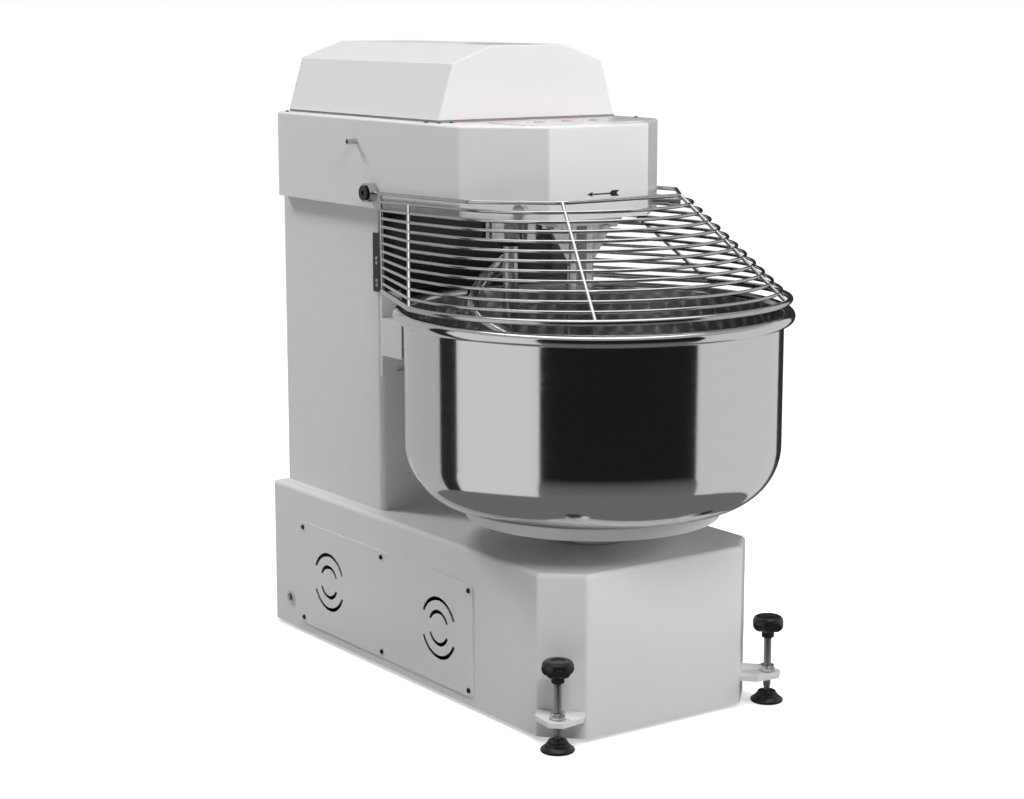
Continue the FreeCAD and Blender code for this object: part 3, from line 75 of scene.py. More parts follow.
class Value:
    """An output of a finish's nodes that takes part in expressions."""

    def __init__(self, finish, socket):
        self.finish = finish
        self.socket = socket

    def maths(self, operation, *others):
        inputs = dict(enumerate((self, *others)))
        return self.finish.node("ShaderNodeMath", {"operation": operation}, inputs)

    def __add__(self, other):
        return self.maths("ADD", other)

    __radd__ = __add__

    def __sub__(self, other):
        return self.maths("SUBTRACT", other)

    def __rsub__(self, other):
        return self.finish.node("ShaderNodeMath", {"operation": "SUBTRACT"}, {0: other, 1: self})

    def __mul__(self, other):
        return self.maths("MULTIPLY", other)

    __rmul__ = __mul__

    def __truediv__(self, other):
        return self.maths("DIVIDE", other)

    def __pow__(self, other):
        return self.maths("POWER", other)

    def part(self):
        return self.maths("FRACT")

    def floor(self):
        return self.maths("FLOOR")

    def sine(self):
        return self.maths("SINE")

    def cosine(self):
        return self.maths("COSINE")

    def angle_to(self, other):
        return self.maths("ARCTAN2", other)

    def size(self):
        return self.maths("ABSOLUTE")

    def at_least(self, other):
        return self.maths("MAXIMUM", other)

    def at_most(self, other):
        return self.maths("MINIMUM", other)

    def held(self):
        return self.at_least(0.0).at_most(1.0)


class Finish:
    """A material with one Principled shader, whose inputs are numbers, colours or expressions."""

    def __init__(self, name, **inputs):
        self.material = bpy.data.materials.new(name)
        self.material.use_nodes = True
        self.tree = self.material.node_tree
        self.shader = self.tree.nodes["Principled BSDF"]
        self.place = self.node("ShaderNodeTexCoord", output="Object")
        self.set(**inputs)

    def node(self, kind, settings=None, inputs=None, output=0):
        made = self.tree.nodes.new(kind)
        for name, setting in (settings or {}).items():
            setattr(made, name, setting)
        for name, entry in (inputs or {}).items():
            self.plug(made.inputs[name], entry)
        return Value(self, made.outputs[output])

    def plug(self, socket, entry):
        if isinstance(entry, Value):
            self.tree.links.new(entry.socket, socket)
        elif socket.type == "RGBA":
            socket.default_value = (*entry, 1)
        else:
            socket.default_value = entry

    def set(self, **inputs):
        for name, entry in inputs.items():
            label = name.replace("_", " ").title().replace("Ior", "IOR")
            self.plug(self.shader.inputs[label], entry)

    def lit(self):
        return Value(self, self.shader.outputs[0])

    def surface(self, shader):
        self.plug(self.tree.nodes["Material Output"].inputs["Surface"], shader)

    def axes(self):
        made = self.node("ShaderNodeSeparateXYZ", None, {"Vector": self.place})
        return [Value(self, output) for output in made.socket.node.outputs]

    def scaled(self, scale):
        return self.node("ShaderNodeMapping", None, {"Vector": self.place, "Scale": scale})

    def noise(self, scale, detail=2.0, vector=None):
        inputs = {"Vector": vector or self.place, "Scale": scale, "Detail": detail}
        return self.node("ShaderNodeTexNoise", None, inputs, "Fac")

    def mix(self, factor, low, high):
        inputs = {0: factor, 6: low, 7: high}
        return self.node("ShaderNodeMix", {"data_type": "RGBA"}, inputs, 2)

    def bump(self, height, strength, distance):
        inputs = {"Height": height, "Strength": strength, "Distance": distance}
        self.set(normal=self.node("ShaderNodeBump", None, inputs))


# Finishes

PAINT_DARK = 0.75
PAINT_LIGHT = 0.79
PAINT_ROUGHNESS = 0.20
PAINT_CLOUD_ROUGHNESS = 0.08
STEEL_GRAIN_ROUGHNESS = 0.10
STEEL_CLOUD_ROUGHNESS = 0.04
PLASTIC_GRAIN_ROUGHNESS = 0.12
PLASTIC_PALING = 1.25
PLASTIC_PALE_LIFT = 0.004
CAST_ROUGHNESS = 0.5
CAST_GRAIN_ROUGHNESS = 0.2
CAST_PALING = 1.5
# Bowl inside: round engine-turned spots whose bright wings are a painted highlight, a sheen fixed to the
# wall
MARK_PITCH = 42 * MM
MARK_WALL_RADIUS = 384.5 * MM
SHEEN_LEAN = 2.02
SHEEN_SHARPNESS = 3.0
MARK_GROUND = 0.08
MARK_CENTRE = 1.4
MARK_FADE = 1.6
MARK_RIPPLES = 70.0
RIPPLE_HEIGHT = 0.5
RIPPLE_ROUGHNESS = 0.02
INSIDE_DARK = (0.40, 0.40, 0.40)
INSIDE_PAINTED_SHEEN = (0.98, 0.98, 0.97)
INSIDE_ROUGHNESS = 0.28
INSIDE_SHINE_ROUGHNESS = 0.14
INSIDE_FLOOR_SHINE = 0.30


def grey(level):
    return (level, level, level)


def white_paint():
    """Glossy powder coat: a fine orange peel and a faint unevenness of tone."""
    finish = Finish("white_paint", specular_ior_level=0.5)
    cloud = finish.noise(scale=2.5, detail=3.0)
    peel = finish.noise(scale=420.0, detail=1.0)
    finish.set(base_color=finish.mix(cloud, grey(PAINT_DARK), grey(PAINT_LIGHT)),
               roughness=PAINT_ROUGHNESS + PAINT_CLOUD_ROUGHNESS * cloud)
    finish.bump(peel, strength=0.04, distance=0.3 * MM)
    return finish.material


def brushed_steel(name, dark, light, roughness, lines, bump=0.05):
    """Steel with fine lines: lines gives how closely they lie along each axis, per metre."""
    finish = Finish(name, metallic=1.0)
    grain = finish.noise(scale=1.0, detail=3.0, vector=finish.scaled(lines))
    cloud = finish.noise(scale=6.0)
    finish.set(base_color=finish.mix(grain, dark, light),
               roughness=roughness + STEEL_GRAIN_ROUGHNESS * grain + STEEL_CLOUD_ROUGHNESS * cloud)
    finish.bump(grain, strength=bump, distance=0.2 * MM)
    return finish.material


def engine_turned_painted_sheen():
    """Steel with rows of round engine-turned spots on the inside of the bowl's wall, each with bright wings
    that are a painted highlight, plain on its floor.
    """
    finish = Finish("engine_turned_painted_sheen", metallic=1.0)
    x, y, z = finish.axes()
    turn = (y - BOWL_AXIS.y).angle_to(x - BOWL_AXIS.x)
    spots = round(math.tau * MARK_WALL_RADIUS / MARK_PITCH)
    every_second_row = ((z / MARK_PITCH).floor() * 0.5).part()
    column = (turn * (spots / math.tau) + every_second_row).part() - 0.5
    row = (z / MARK_PITCH).part() - 0.5
    away = (column * column + row * row) ** 0.5
    # Painted highlight: each spot's bright bow-tie wings, leaning round the bowl like a reflected sheen
    sheen_fan = (2.0 * row.angle_to(column) - 2.0 * turn - SHEEN_LEAN).cosine()
    painted_highlight_wing = (0.5 + 0.5 * sheen_fan) ** SHEEN_SHARPNESS
    ripples = (away * MARK_RIPPLES).sine()
    wall = ((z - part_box("bowl")[0].z) / BOWL_CORNER).held()
    spots_with_painted_highlight = MARK_GROUND + (1.0 - MARK_GROUND) * painted_highlight_wing * (MARK_CENTRE - MARK_FADE * away).held()
    tone_with_painted_sheen = spots_with_painted_highlight * wall + INSIDE_FLOOR_SHINE * (1.0 - wall)
    finish.set(base_color=finish.mix(tone_with_painted_sheen, INSIDE_DARK, INSIDE_PAINTED_SHEEN),
               roughness=INSIDE_ROUGHNESS + INSIDE_SHINE_ROUGHNESS * tone_with_painted_sheen + RIPPLE_ROUGHNESS * ripples)
    finish.bump(ripples * RIPPLE_HEIGHT + tone_with_painted_sheen, strength=0.05, distance=0.3 * MM)
    return finish.material


def plastic(name, colour, roughness, grain_size=1.0 * MM, specular=0.5):
    """Moulded plastic, rubber or print with a fine grain, grain_size in metres."""
    finish = Finish(name, specular_ior_level=specular)
    grain = finish.noise(scale=1.0 / grain_size)
    cloud = finish.noise(scale=25.0)
    pale = tuple(min(1.0, part * PLASTIC_PALING + PLASTIC_PALE_LIFT) for part in colour)
    finish.set(base_color=finish.mix(cloud, colour, pale),
               roughness=roughness + PLASTIC_GRAIN_ROUGHNESS * grain)
    finish.bump(grain, strength=0.12, distance=0.2 * MM)
    return finish.material


def cast_metal(name, colour):
    """Rough cast metal with a coarse grain."""
    finish = Finish(name, metallic=0.6)
    grain = finish.noise(scale=240.0, detail=4.0)
    pale = tuple(part * CAST_PALING for part in colour)
    finish.set(base_color=finish.mix(grain, colour, pale),
               roughness=CAST_ROUGHNESS + CAST_GRAIN_ROUGHNESS * grain)
    finish.bump(grain, strength=0.35, distance=0.6 * MM)
    return finish.material


FINISHES = {
    "white_paint": white_paint(),
    "polished_steel": brushed_steel("polished_steel", dark=grey(0.58), light=grey(0.74), roughness=0.06,
                                    lines=(14, 14, 320)),
    "chrome_wire": brushed_steel("chrome_wire", dark=grey(0.50), light=grey(0.66), roughness=0.09,
                                 lines=(60, 60, 60), bump=0.02),
    "plain_steel": brushed_steel("plain_steel", dark=grey(0.62), light=grey(0.78), roughness=0.24,
                                 lines=(120, 120, 420)),
    "cast_iron": cast_metal("cast_iron", (0.16, 0.165, 0.17)),
    "black_paint": plastic("black_paint", grey(0.010), roughness=0.10, grain_size=1.2 * MM),
    "black_plastic": plastic("black_plastic", grey(0.008), roughness=0.20, grain_size=0.5 * MM),
    "grey_plastic": plastic("grey_plastic", (0.50, 0.51, 0.52), roughness=0.40, grain_size=0.7 * MM),
    "panel_film": plastic("panel_film", (0.56, 0.56, 0.57), roughness=0.22, grain_size=2.5 * MM),
    "black_rubber": plastic("black_rubber", grey(0.014), roughness=0.45, grain_size=0.8 * MM, specular=0.35),
    # seal_rubber: the seal's own grey, darkened so that it reads as the shaded gap under the hood's edge,
    # partly painted shade
    "seal_rubber": plastic("seal_rubber", grey(0.24), roughness=0.5, grain_size=1.5 * MM, specular=0.35),
}
BOWL_OUTSIDE = brushed_steel("bowl_outside", dark=grey(0.74), light=grey(0.80), roughness=0.03,
                             lines=(3, 3, 420), bump=0.010)
BOWL_INSIDE = engine_turned_painted_sheen()
THREAD_STEEL = brushed_steel("thread_steel", dark=(0.44, 0.43, 0.42), light=(0.58, 0.57, 0.56),
                             roughness=0.34, lines=(200, 200, 200))
ARROW_PRINT = plastic("arrow_print", grey(0.015), roughness=0.5)
STRIP_PRINT = plastic("strip_print", (0.70, 0.36, 0.38), roughness=0.4)
KEY_PRINTS = {
    "start_key": plastic("start_print", (0.05, 0.36, 0.10), roughness=0.4),
    "stop_key": plastic("stop_print", (0.55, 0.04, 0.04), roughness=0.4),
    "speed_key": plastic("speed_print", grey(0.03), roughness=0.4),
}

for subpart in frame["record"]["subparts"]:
    for slot in NODES[subpart["node"]].material_slots:
        slot.material = FINISHES[subpart["material_slot"]]


# Mesh tools

SMOOTH_ANGLE = math.radians(38)
MERGE_DISTANCE = 0.001 * MM


def mesh_piece(name, bm, body, materials, replaced=()):
    """A finished piece from a bmesh whose place is already in its vertices."""
    mesh = bpy.data.meshes.new(name)
    bm.to_mesh(mesh)
    bm.free()
    mesh.shade_smooth()
    mesh.set_sharp_from_angle(angle=SMOOTH_ANGLE)
    for material in materials:
        mesh.materials.append(material)
    piece = bpy.data.objects.new(name, mesh)
    bpy.context.scene.collection.objects.link(piece)
    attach(piece, body)
    if replaced:
        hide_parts(*replaced)


def turns_between(start, end, steps):
    """Even angles in radians, from one angle in degrees to another."""
    return [math.radians(start + (end - start) * step / steps) for step in range(steps + 1)]


def arc(centre, radius, start, end, steps):
    """Points along an arc about a centre, from one angle in degrees to another."""
    return [(centre[0] + radius * math.cos(turn), centre[1] + radius * math.sin(turn))
            for turn in turns_between(start, end, steps)]


def lifted(pairs, height=0.0):
    """Points in metres from pairs of radius and height in millimetres, raised by a height in metres."""
    return [(radius * MM, height + rise * MM) for radius, rise in pairs]


def lathe(bm, profile, steps, closed=False):
    """Turn a profile of radius and height pairs about the vertical axis at the origin."""
    points = [bm.verts.new((radius, 0, height)) for radius, height in profile]
    ends = points[1:] + points[:1] if closed else points[1:]
    edges = [bm.edges.new(pair) for pair in zip(points, ends)]
    bmesh.ops.spin(bm, geom=points + edges, cent=(0, 0, 0), axis=(0, 0, 1), angle=math.tau, steps=steps,
                   use_merge=True)
    bmesh.ops.remove_doubles(bm, verts=bm.verts, dist=MERGE_DISTANCE)
    bmesh.ops.recalc_face_normals(bm, faces=bm.faces)


def block(bm, low, high):
    """A box between two corners, added to a bmesh."""
    made = bmesh.ops.create_cube(bm, size=1.0)["verts"]
    bmesh.ops.scale(bm, verts=made, vec=Vector(high) - Vector(low))
    bmesh.ops.translate(bm, verts=made, vec=(Vector(high) + Vector(low)) / 2)
    return made


def move(bm, place, facing=(0, 0, 1)):
    """Turn a bmesh's vertical axis to a direction, then move it to a place."""
    turn = Vector((0, 0, 1)).rotation_difference(Vector(facing)).to_matrix()
    bmesh.ops.rotate(bm, verts=bm.verts, cent=(0, 0, 0), matrix=turn)
    bmesh.ops.translate(bm, verts=bm.verts, vec=place)


def join(bm, other):
    """Add another bmesh to a bmesh and free it."""
    mesh = bpy.data.meshes.new("joined")
    other.to_mesh(mesh)
    other.free()
    bm.from_mesh(mesh)
    bpy.data.meshes.remove(mesh)


def points_of(geometry):
    return [item for item in geometry if isinstance(item, bmesh.types.BMVert)]


def edges_of(geometry):
    return [item for item in geometry if isinstance(item, bmesh.types.BMEdge)]


def middle(node):
    """The centre of a node's box."""
    low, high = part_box(node)
    return (low + high) / 2


# Bowl: a polished wall with a rolled rim outside, engine-turned inside

BOWL_WALL = 3 * MM
BEAD = 12.75 * MM
BOWL_STEPS = 192
CORNER_STEPS = 24
BEAD_STEPS = 36


def bowl():
    """The shell with its rolled rim, whose inward faces below the rim take the inner finish."""
    low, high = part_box("bowl")
    outer = (high.x - low.x) / 2 - 2 * BEAD + BOWL_WALL
    rim = high.z - BEAD
    bead_at = (outer - BOWL_WALL + BEAD, rim)
    corner = (outer - BOWL_CORNER, low.z + BOWL_CORNER)
    meet = math.degrees(math.acos((BEAD - BOWL_WALL) / BEAD))
    profile = [(0, low.z)]
    profile += arc(corner, BOWL_CORNER, start=-90, end=0, steps=CORNER_STEPS)
    profile += arc(bead_at, BEAD, start=meet - 180, end=180, steps=BEAD_STEPS)
    profile += arc(corner, BOWL_CORNER - BOWL_WALL, start=0, end=-90, steps=CORNER_STEPS)
    profile += [(0, low.z + BOWL_WALL)]
    bm = bmesh.new()
    lathe(bm, profile, BOWL_STEPS)
    for face in bm.faces:
        centre = face.calc_center_median()
        inward = face.normal.dot(Vector((-centre.x, -centre.y, 0)).normalized() + Vector((0, 0, 1)))
        face.material_index = int(inward > 0 and centre.z < rim)
    move(bm, (*BOWL_AXIS, 0))
    mesh_piece("bowl_shell", bm, "bowl", [BOWL_OUTSIDE, BOWL_INSIDE], ["bowl"])


bowl()

# Levelling feet: stepped pads, threaded stems, fluted knobs and lock nuts

PAD_STEPS = 64
PAD_SOLE_INSET = 2 * MM
PAD_EDGE = 3.5 * MM
PAD_LOWER_STEP = [(29, 9), (25.5, 11.4), (24.3, 11.2), (24, 12.6)]
PAD_MIDDLE = (21 * MM, 13.4 * MM)
PAD_MIDDLE_ROUND = 2.6 * MM
PAD_UPPER_STEP = [(20, 16.2), (19.6, 17.6)]
PAD_TOP_RADIUS = 16.4 * MM
PAD_TOP_DROP = 4.4 * MM
PAD_TOP_ROUND = 3.2 * MM
PAD_GROOVE = [(13, 0), (10.5, -0.6), (9.5, -3), (7, -3)]
NECK = 6 * MM
STEM_STEPS = 32
STEM_SHOULDER = 10 * MM
STEM_NECK_DROP = 5 * MM
STEM_TAPER_DROP = 2 * MM
THREAD_PITCH = 2 * MM
THREAD_DEPTH = 0.9 * MM
THREAD_FOOT = 0.1 * THREAD_PITCH
THREAD_CREST = (0.45 * THREAD_PITCH, 0.65 * THREAD_PITCH)
KNOB_STEPS = 160
KNOB_COLLAR = 13 * MM
KNOB_COLLAR_EDGE = 1 * MM
KNOB_CROWN_RISE = 12 * MM
KNOB_WIDEST_RISE = 17 * MM
KNOB_DISH = 15 * MM
KNOB_DISH_RIM = 5 * MM
KNOB_DISH_EDGE = 0.6 * MM
KNOB_DISH_SLOPE = 1.5 * MM
KNOB_DISH_DEPTH = 2.6 * MM
KNOB_MARGIN = 0.1 * MM
PILLOW_STEPS = 14
PILLOW_POWER = 0.8
FLUTES = 5
FLUTE_DEPTH = 0.24
FLUTE_HALF_TURN = math.radians(27)
FLUTE_RISE = 24 * MM
FLUTE_SHOULDER = 0.3
FLUTE_TURN = {"left": math.radians(238), "right": math.radians(262)}
TAB_THICKNESS = 10 * MM
WASHER_THICKNESS = 1.5 * MM
NUT_STEPS = 48
NUT_BORE = 8.2 * MM
NUT_FACE = 14 * MM
NUT_CORNER = 16 * MM
NUT_CHAMFER = 1.6 * MM
NUT_COVER = 0.4 * MM


def foot_pad(side):
    """A bell with two steps and a ring groove about the stem."""
    node = f"{side}_foot_pad"
    low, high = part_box(node)
    radius = (high.x - low.x) / 2
    top = high.z - low.z
    profile = [(0, 0), (radius - PAD_SOLE_INSET, 0)]
    profile += arc((radius - PAD_EDGE, PAD_EDGE), PAD_EDGE, start=-60, end=35, steps=6)
    profile += lifted(PAD_LOWER_STEP)
    profile += arc(PAD_MIDDLE, PAD_MIDDLE_ROUND, start=0, end=70, steps=4)
    profile += lifted(PAD_UPPER_STEP)
    profile += arc((PAD_TOP_RADIUS, top - PAD_TOP_DROP), PAD_TOP_ROUND, start=0, end=80, steps=5)
    profile += lifted(PAD_GROOVE, top)
    profile += [(NECK, top), (0, top)]
    bm = bmesh.new()
    lathe(bm, profile, PAD_STEPS)
    move(bm, (*middle(node).xy, low.z))
    mesh_piece(f"{side}_pad", bm, f"{side}_foot", [FINISHES["black_plastic"]], [node])


def foot_stem(side):
    """A rod with thread ridges above a plain neck."""
    node = f"{side}_foot_screw"
    low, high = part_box(node)
    radius = (high.x - low.x) / 2
    root = radius - THREAD_DEPTH
    shoulder = low.z + STEM_SHOULDER
    profile = [(0, low.z), (NECK, low.z), (NECK, shoulder - STEM_NECK_DROP),
               (root, shoulder - STEM_TAPER_DROP)]
    for turn in range(int((high.z - shoulder) / THREAD_PITCH)):
        start = shoulder + turn * THREAD_PITCH
        profile.append((root, start + THREAD_FOOT))
        profile += [(radius, start + crest) for crest in THREAD_CREST]
    profile += [(root, high.z), (0, high.z)]
    bm = bmesh.new()
    lathe(bm, profile, STEM_STEPS)
    move(bm, (*middle(node).xy, 0))
    mesh_piece(f"{side}_stem", bm, f"{side}_screw", [THREAD_STEEL], [node])


def pillow(centre, reach, rise, start, end):
    """Points along an ellipse with full shoulders, from one angle in degrees to another."""
    points = []
    for turn in turns_between(start, end, PILLOW_STEPS):
        across = math.cos(turn)
        up = math.sin(turn)
        points.append((centre[0] + reach * math.copysign(abs(across) ** PILLOW_POWER, across),
                       centre[1] + rise * math.copysign(abs(up) ** PILLOW_POWER, up)))
    return points


def flute(point, crown, first_turn):
    """Draw a point of a knob inwards where an arched flute lies over it."""
    between = math.tau / FLUTES
    turn = math.atan2(point.co.y, point.co.x) - first_turn
    across = ((turn + between / 2) % between - between / 2) / FLUTE_HALF_TURN
    up = (point.co.z - crown) / FLUTE_RISE
    hollow = min(1.0, max(0.0, (1 - math.hypot(across, up)) / FLUTE_SHOULDER))
    point.co.xy *= 1 - FLUTE_DEPTH * hollow * hollow * (3 - 2 * hollow)


def foot_knob(side):
    """A pillow-shaped crown on a short collar, with arched flutes in its lower half and a dish on top."""
    node = f"{side}_foot_knob"
    low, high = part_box(node)
    radius = (high.y - low.y) / 2
    crown = low.z + KNOB_CROWN_RISE
    widest = crown + KNOB_WIDEST_RISE
    shoulder = KNOB_DISH + KNOB_DISH_RIM
    dish_floor = high.z - KNOB_DISH_DEPTH
    profile = [(0, low.z), (KNOB_COLLAR - KNOB_COLLAR_EDGE, low.z),
               (KNOB_COLLAR, low.z + KNOB_COLLAR_EDGE), (KNOB_COLLAR, crown)]
    profile += pillow((KNOB_COLLAR, widest), radius - KNOB_COLLAR, widest - crown, start=-86, end=0)
    profile += pillow((shoulder, widest), radius - shoulder, high.z - widest, start=6, end=90)
    profile += [(KNOB_DISH, high.z - KNOB_DISH_EDGE), (KNOB_DISH - KNOB_DISH_SLOPE, dish_floor),
                (0, dish_floor)]
    bm = bmesh.new()
    lathe(bm, profile, KNOB_STEPS)
    for point in bm.verts:
        if point.co.xy.length > KNOB_COLLAR + KNOB_MARGIN and point.co.z > crown:
            flute(point, crown, FLUTE_TURN[side])
    move(bm, (*middle(node).xy, 0))
    mesh_piece(f"{side}_knob", bm, f"{side}_screw", [FINISHES["black_plastic"]], [node])


def foot_nuts():
    """Steel lock nuts on thin washers over the welded nuts of the tabs."""
    low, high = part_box("foot_tabs")
    washer = low.z + TAB_THICKNESS
    start = washer + WASHER_THICKNESS
    end = high.z + NUT_COVER
    profile = [(NUT_BORE, washer), (NUT_CORNER, washer), (NUT_CORNER, start), (NUT_FACE, start),
               (NUT_CORNER, start + NUT_CHAMFER), (NUT_CORNER, end - NUT_CHAMFER), (NUT_FACE, end),
               (NUT_BORE, end)]
    bm = bmesh.new()
    for side in ("left", "right"):
        nut = bmesh.new()
        lathe(nut, profile, NUT_STEPS, closed=True)
        for point in nut.verts:
            if start < point.co.z < end:
                turn = math.atan2(point.co.y, point.co.x) % HEXAGON_TURN - HEXAGON_TURN / 2
                point.co.xy *= min(1.0, NUT_FACE / math.cos(turn) / point.co.xy.length)
        move(nut, (*middle(f"{side}_foot_screw").xy, 0))
        join(bm, nut)
    mesh_piece("foot_nuts", bm, "frame", [FINISHES["plain_steel"]])


for side in ("left", "right"):
    foot_pad(side)
    foot_stem(side)
    foot_knob(side)
foot_nuts()

# Screw heads with a hexagon socket

HEAD_RADIUS = 5.5 * MM
HEAD_HEIGHT = 3.2 * MM
HEAD_STEPS = 24
HEAD_SIDE_SHARE = 0.3
HEAD_DOME_SHARE = 0.45
SOCKET_SHARE = 0.5
SOCKET_FLAT_SHARE = 0.85
SOCKET_DEPTH_SHARE = 0.7
CASING_SCREW_SIZE = 1.0
CASING_SCREW_INSET = 13 * MM
HOOD_SCREW_SIZE = 0.75
HOOD_SCREW_BESIDE = 13 * MM
HOOD_SCREW_FROM_REAR = 15 * MM
HOOD_SCREW_FROM_FRONT = 22 * MM
HOOD_CORNER_SCREWS = [(-6 * MM, -15 * MM), (22 * MM, -17 * MM)]
HOOD_RIGHT_SCREW_AHEAD = 59 * MM
SHIELD_SCREW_SIZE = 0.7
SHIELD_SCREW_INSET = 11 * MM
SHIELD_SCREW_RISES = (14 * MM, 24 * MM, 62 * MM, 72 * MM)


def screw_head(bm, place, facing, size):
    """A domed head with a hexagon socket, added to a bmesh."""
    radius = HEAD_RADIUS * size
    height = HEAD_HEIGHT * size
    side = HEAD_SIDE_SHARE * height
    dome = HEAD_DOME_SHARE * radius
    socket = SOCKET_SHARE * radius
    profile = [(0, 0), (radius, 0), (radius, side)]
    profile += arc((radius - dome, side), dome, start=0, end=60, steps=4)
    profile += [(socket, height)]
    head = bmesh.new()
    lathe(head, profile, HEAD_STEPS)
    rim = [edge for edge in head.edges if edge.is_boundary]
    made = bmesh.ops.extrude_edge_only(head, edges=rim)["geom"]
    for point in points_of(made):
        turn = math.atan2(point.co.y, point.co.x)
        flat = SOCKET_FLAT_SHARE * socket / math.cos(turn % HEXAGON_TURN - HEXAGON_TURN / 2)
        point.co = (flat * math.cos(turn), flat * math.sin(turn), height)
    sunk = bmesh.ops.extrude_edge_only(head, edges=edges_of(made))["geom"]
    bmesh.ops.translate(head, verts=points_of(sunk), vec=(0, 0, -SOCKET_DEPTH_SHARE * height))
    bmesh.ops.contextual_create(head, geom=edges_of(sunk))
    bmesh.ops.recalc_face_normals(head, faces=head.faces)
    move(head, place, facing)
    join(bm, head)


def screws(name, spots, size, finish, replaced=()):
    """Screw heads at pairs of place and facing."""
    bm = bmesh.new()
    for place, facing in spots:
        screw_head(bm, place, facing, size)
    mesh_piece(name, bm, "frame", [FINISHES[finish]], replaced)


def screw_ends(low, high):
    """Places of the two outer screws of a row between two edges."""
    return low + CASING_SCREW_INSET, high - CASING_SCREW_INSET


def screw_row(low, high):
    """Places of a row of three screws between two edges."""
    first, last = screw_ends(low, high)
    return first, (low + high) / 2, last


def casing_screws():
    """Dark heads round the side panel and the rear cover."""
    low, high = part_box("side_access_panel")
    spots = [((low.x, along, height), (-1, 0, 0)) for along in screw_row(low.y, high.y)
             for height in screw_ends(low.z, high.z)]
    low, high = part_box("rear_cover")
    spots += [((across, high.y, height), (0, 1, 0)) for across in screw_ends(low.x, high.x)
              for height in screw_row(low.z, high.z)]
    screws("casing_screw_heads", spots, CASING_SCREW_SIZE, "black_paint", ["casing_screws"])


def hood_screws():
    """Small screws on the head beside the hood."""
    low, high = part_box("hood")
    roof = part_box("head_shell")[1].z
    left = low.x - HOOD_SCREW_BESIDE
    right = high.x + HOOD_SCREW_BESIDE
    rear = high.y - HOOD_SCREW_FROM_REAR
    front = low.y + HOOD_SCREW_FROM_FRONT
    places = [(left, rear), (left, front)]
    places += [(low.x + across, low.y + along) for across, along in HOOD_CORNER_SCREWS]
    places += [(right, rear), (right, front), (right, low.y - HOOD_RIGHT_SCREW_AHEAD)]
    spots = [((*place, roof), (0, 0, 1)) for place in places]
    screws("hood_screws", spots, HOOD_SCREW_SIZE, "black_paint")


def shield_screws():
    """Two pairs of screws through each folded edge of the shield."""
    low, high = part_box("rear_shield")
    along = low.y + SHIELD_SCREW_INSET
    spots = []
    for rise in SHIELD_SCREW_RISES:
        spots.append(((low.x, along, low.z + rise), (-1, 0, 0)))
        spots.append(((high.x, along, low.z + rise), (1, 0, 0)))
    screws("shield_screws", spots, SHIELD_SCREW_SIZE, "plain_steel")


casing_screws()
hood_screws()
shield_screws()

# Small pieces: painted shade in the stop pin's hole, dots on the keys, painted shade in the hub's slots, the
# shield's lip and a roof strip

DISC_STEPS = 32
PIN_TIP_RADIUS = 3.6 * MM
PIN_TIP_HEIGHT = 0.8 * MM
PIN_FROM_HINGE = Vector((0, 68 * MM, 104.5 * MM))
KEY_PRINT_RADIUS = 5 * MM
KEY_PRINT_HEIGHT = 0.2 * MM
HUB_RADIUS = 75 * MM
SLOT_TURNS = (15, 105, 195, 285)
SLOT_DEPTH = 1 * MM
SLOT_WIDTH = 14 * MM
SLOT_HEIGHT = 3 * MM
SLOT_RISE = 4 * MM
SLOT_COVER = 0.2 * MM
LIP_LEFT = -180 * MM
LIP_THICKNESS = 2 * MM
LIP_DROP = 38 * MM
LIP_OVERLAP = 3 * MM
LIP_GAP = 1 * MM
STRIP_HALF_WIDTH = 190 * MM
STRIP_REACH = (22 * MM, 8 * MM)
STRIP_THICKNESS = 0.4 * MM


def disc(name, place, facing, radius, height, body, material):
    """A thin round plate on a face."""
    bm = bmesh.new()
    lathe(bm, [(0, 0), (radius, 0), (radius, height), (0, height)], DISC_STEPS)
    move(bm, place, facing)
    mesh_piece(name, bm, body, [material])


def pin_hole_shade():
    """A dark disc on the end of the guard's stop pin: painted shade in its hole."""
    place = Vector(JOINTS["guard_hinge"]["pos_m"]) + PIN_FROM_HINGE
    place.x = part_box("guard_stops")[0].x
    disc("stop_pin_hole_shade", place, (-1, 0, 0), PIN_TIP_RADIUS, PIN_TIP_HEIGHT, "frame",
         FINISHES["black_plastic"])


def key_prints():
    """A coloured dot on each key."""
    for key, print_finish in KEY_PRINTS.items():
        place = middle(key)
        place.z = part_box(key)[1].z
        disc(f"{key}_print", place, (0, 0, 1), KEY_PRINT_RADIUS, KEY_PRINT_HEIGHT, key,
             print_finish)


def hub_slot_painted_shade():
    """Dark patches round the bowl's hub: painted shade where its slots are."""
    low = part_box("base_shell")[1].z + SLOT_RISE
    bm = bmesh.new()
    for turn in SLOT_TURNS:
        made = block(bm, (HUB_RADIUS - SLOT_DEPTH, -SLOT_WIDTH / 2, low),
                     (HUB_RADIUS + SLOT_COVER, SLOT_WIDTH / 2, low + SLOT_HEIGHT))
        bmesh.ops.rotate(bm, verts=made, cent=(0, 0, 0), matrix=Matrix.Rotation(math.radians(turn), 3, "Z"))
    bmesh.ops.translate(bm, verts=bm.verts, vec=(*BOWL_AXIS, 0))
    mesh_piece("hub_slot_painted_shade", bm, "bowl", [FINISHES["black_rubber"]])


def shield_lip():
    """A black lip along the shield's lower edge, which closes the gap down to the bowl."""
    low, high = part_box("rear_shield")
    bracket_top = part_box("roller_brackets")[1].z
    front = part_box("roller_covers")[1].y
    top = low.z + LIP_OVERLAP
    bm = bmesh.new()
    block(bm, (LIP_LEFT, front - LIP_THICKNESS, low.z - LIP_DROP), (high.x, front, top))
    block(bm, (LIP_LEFT, front, bracket_top + LIP_GAP), (high.x, low.y, top))
    mesh_piece("shield_lip", bm, "frame", [FINISHES["black_paint"]])


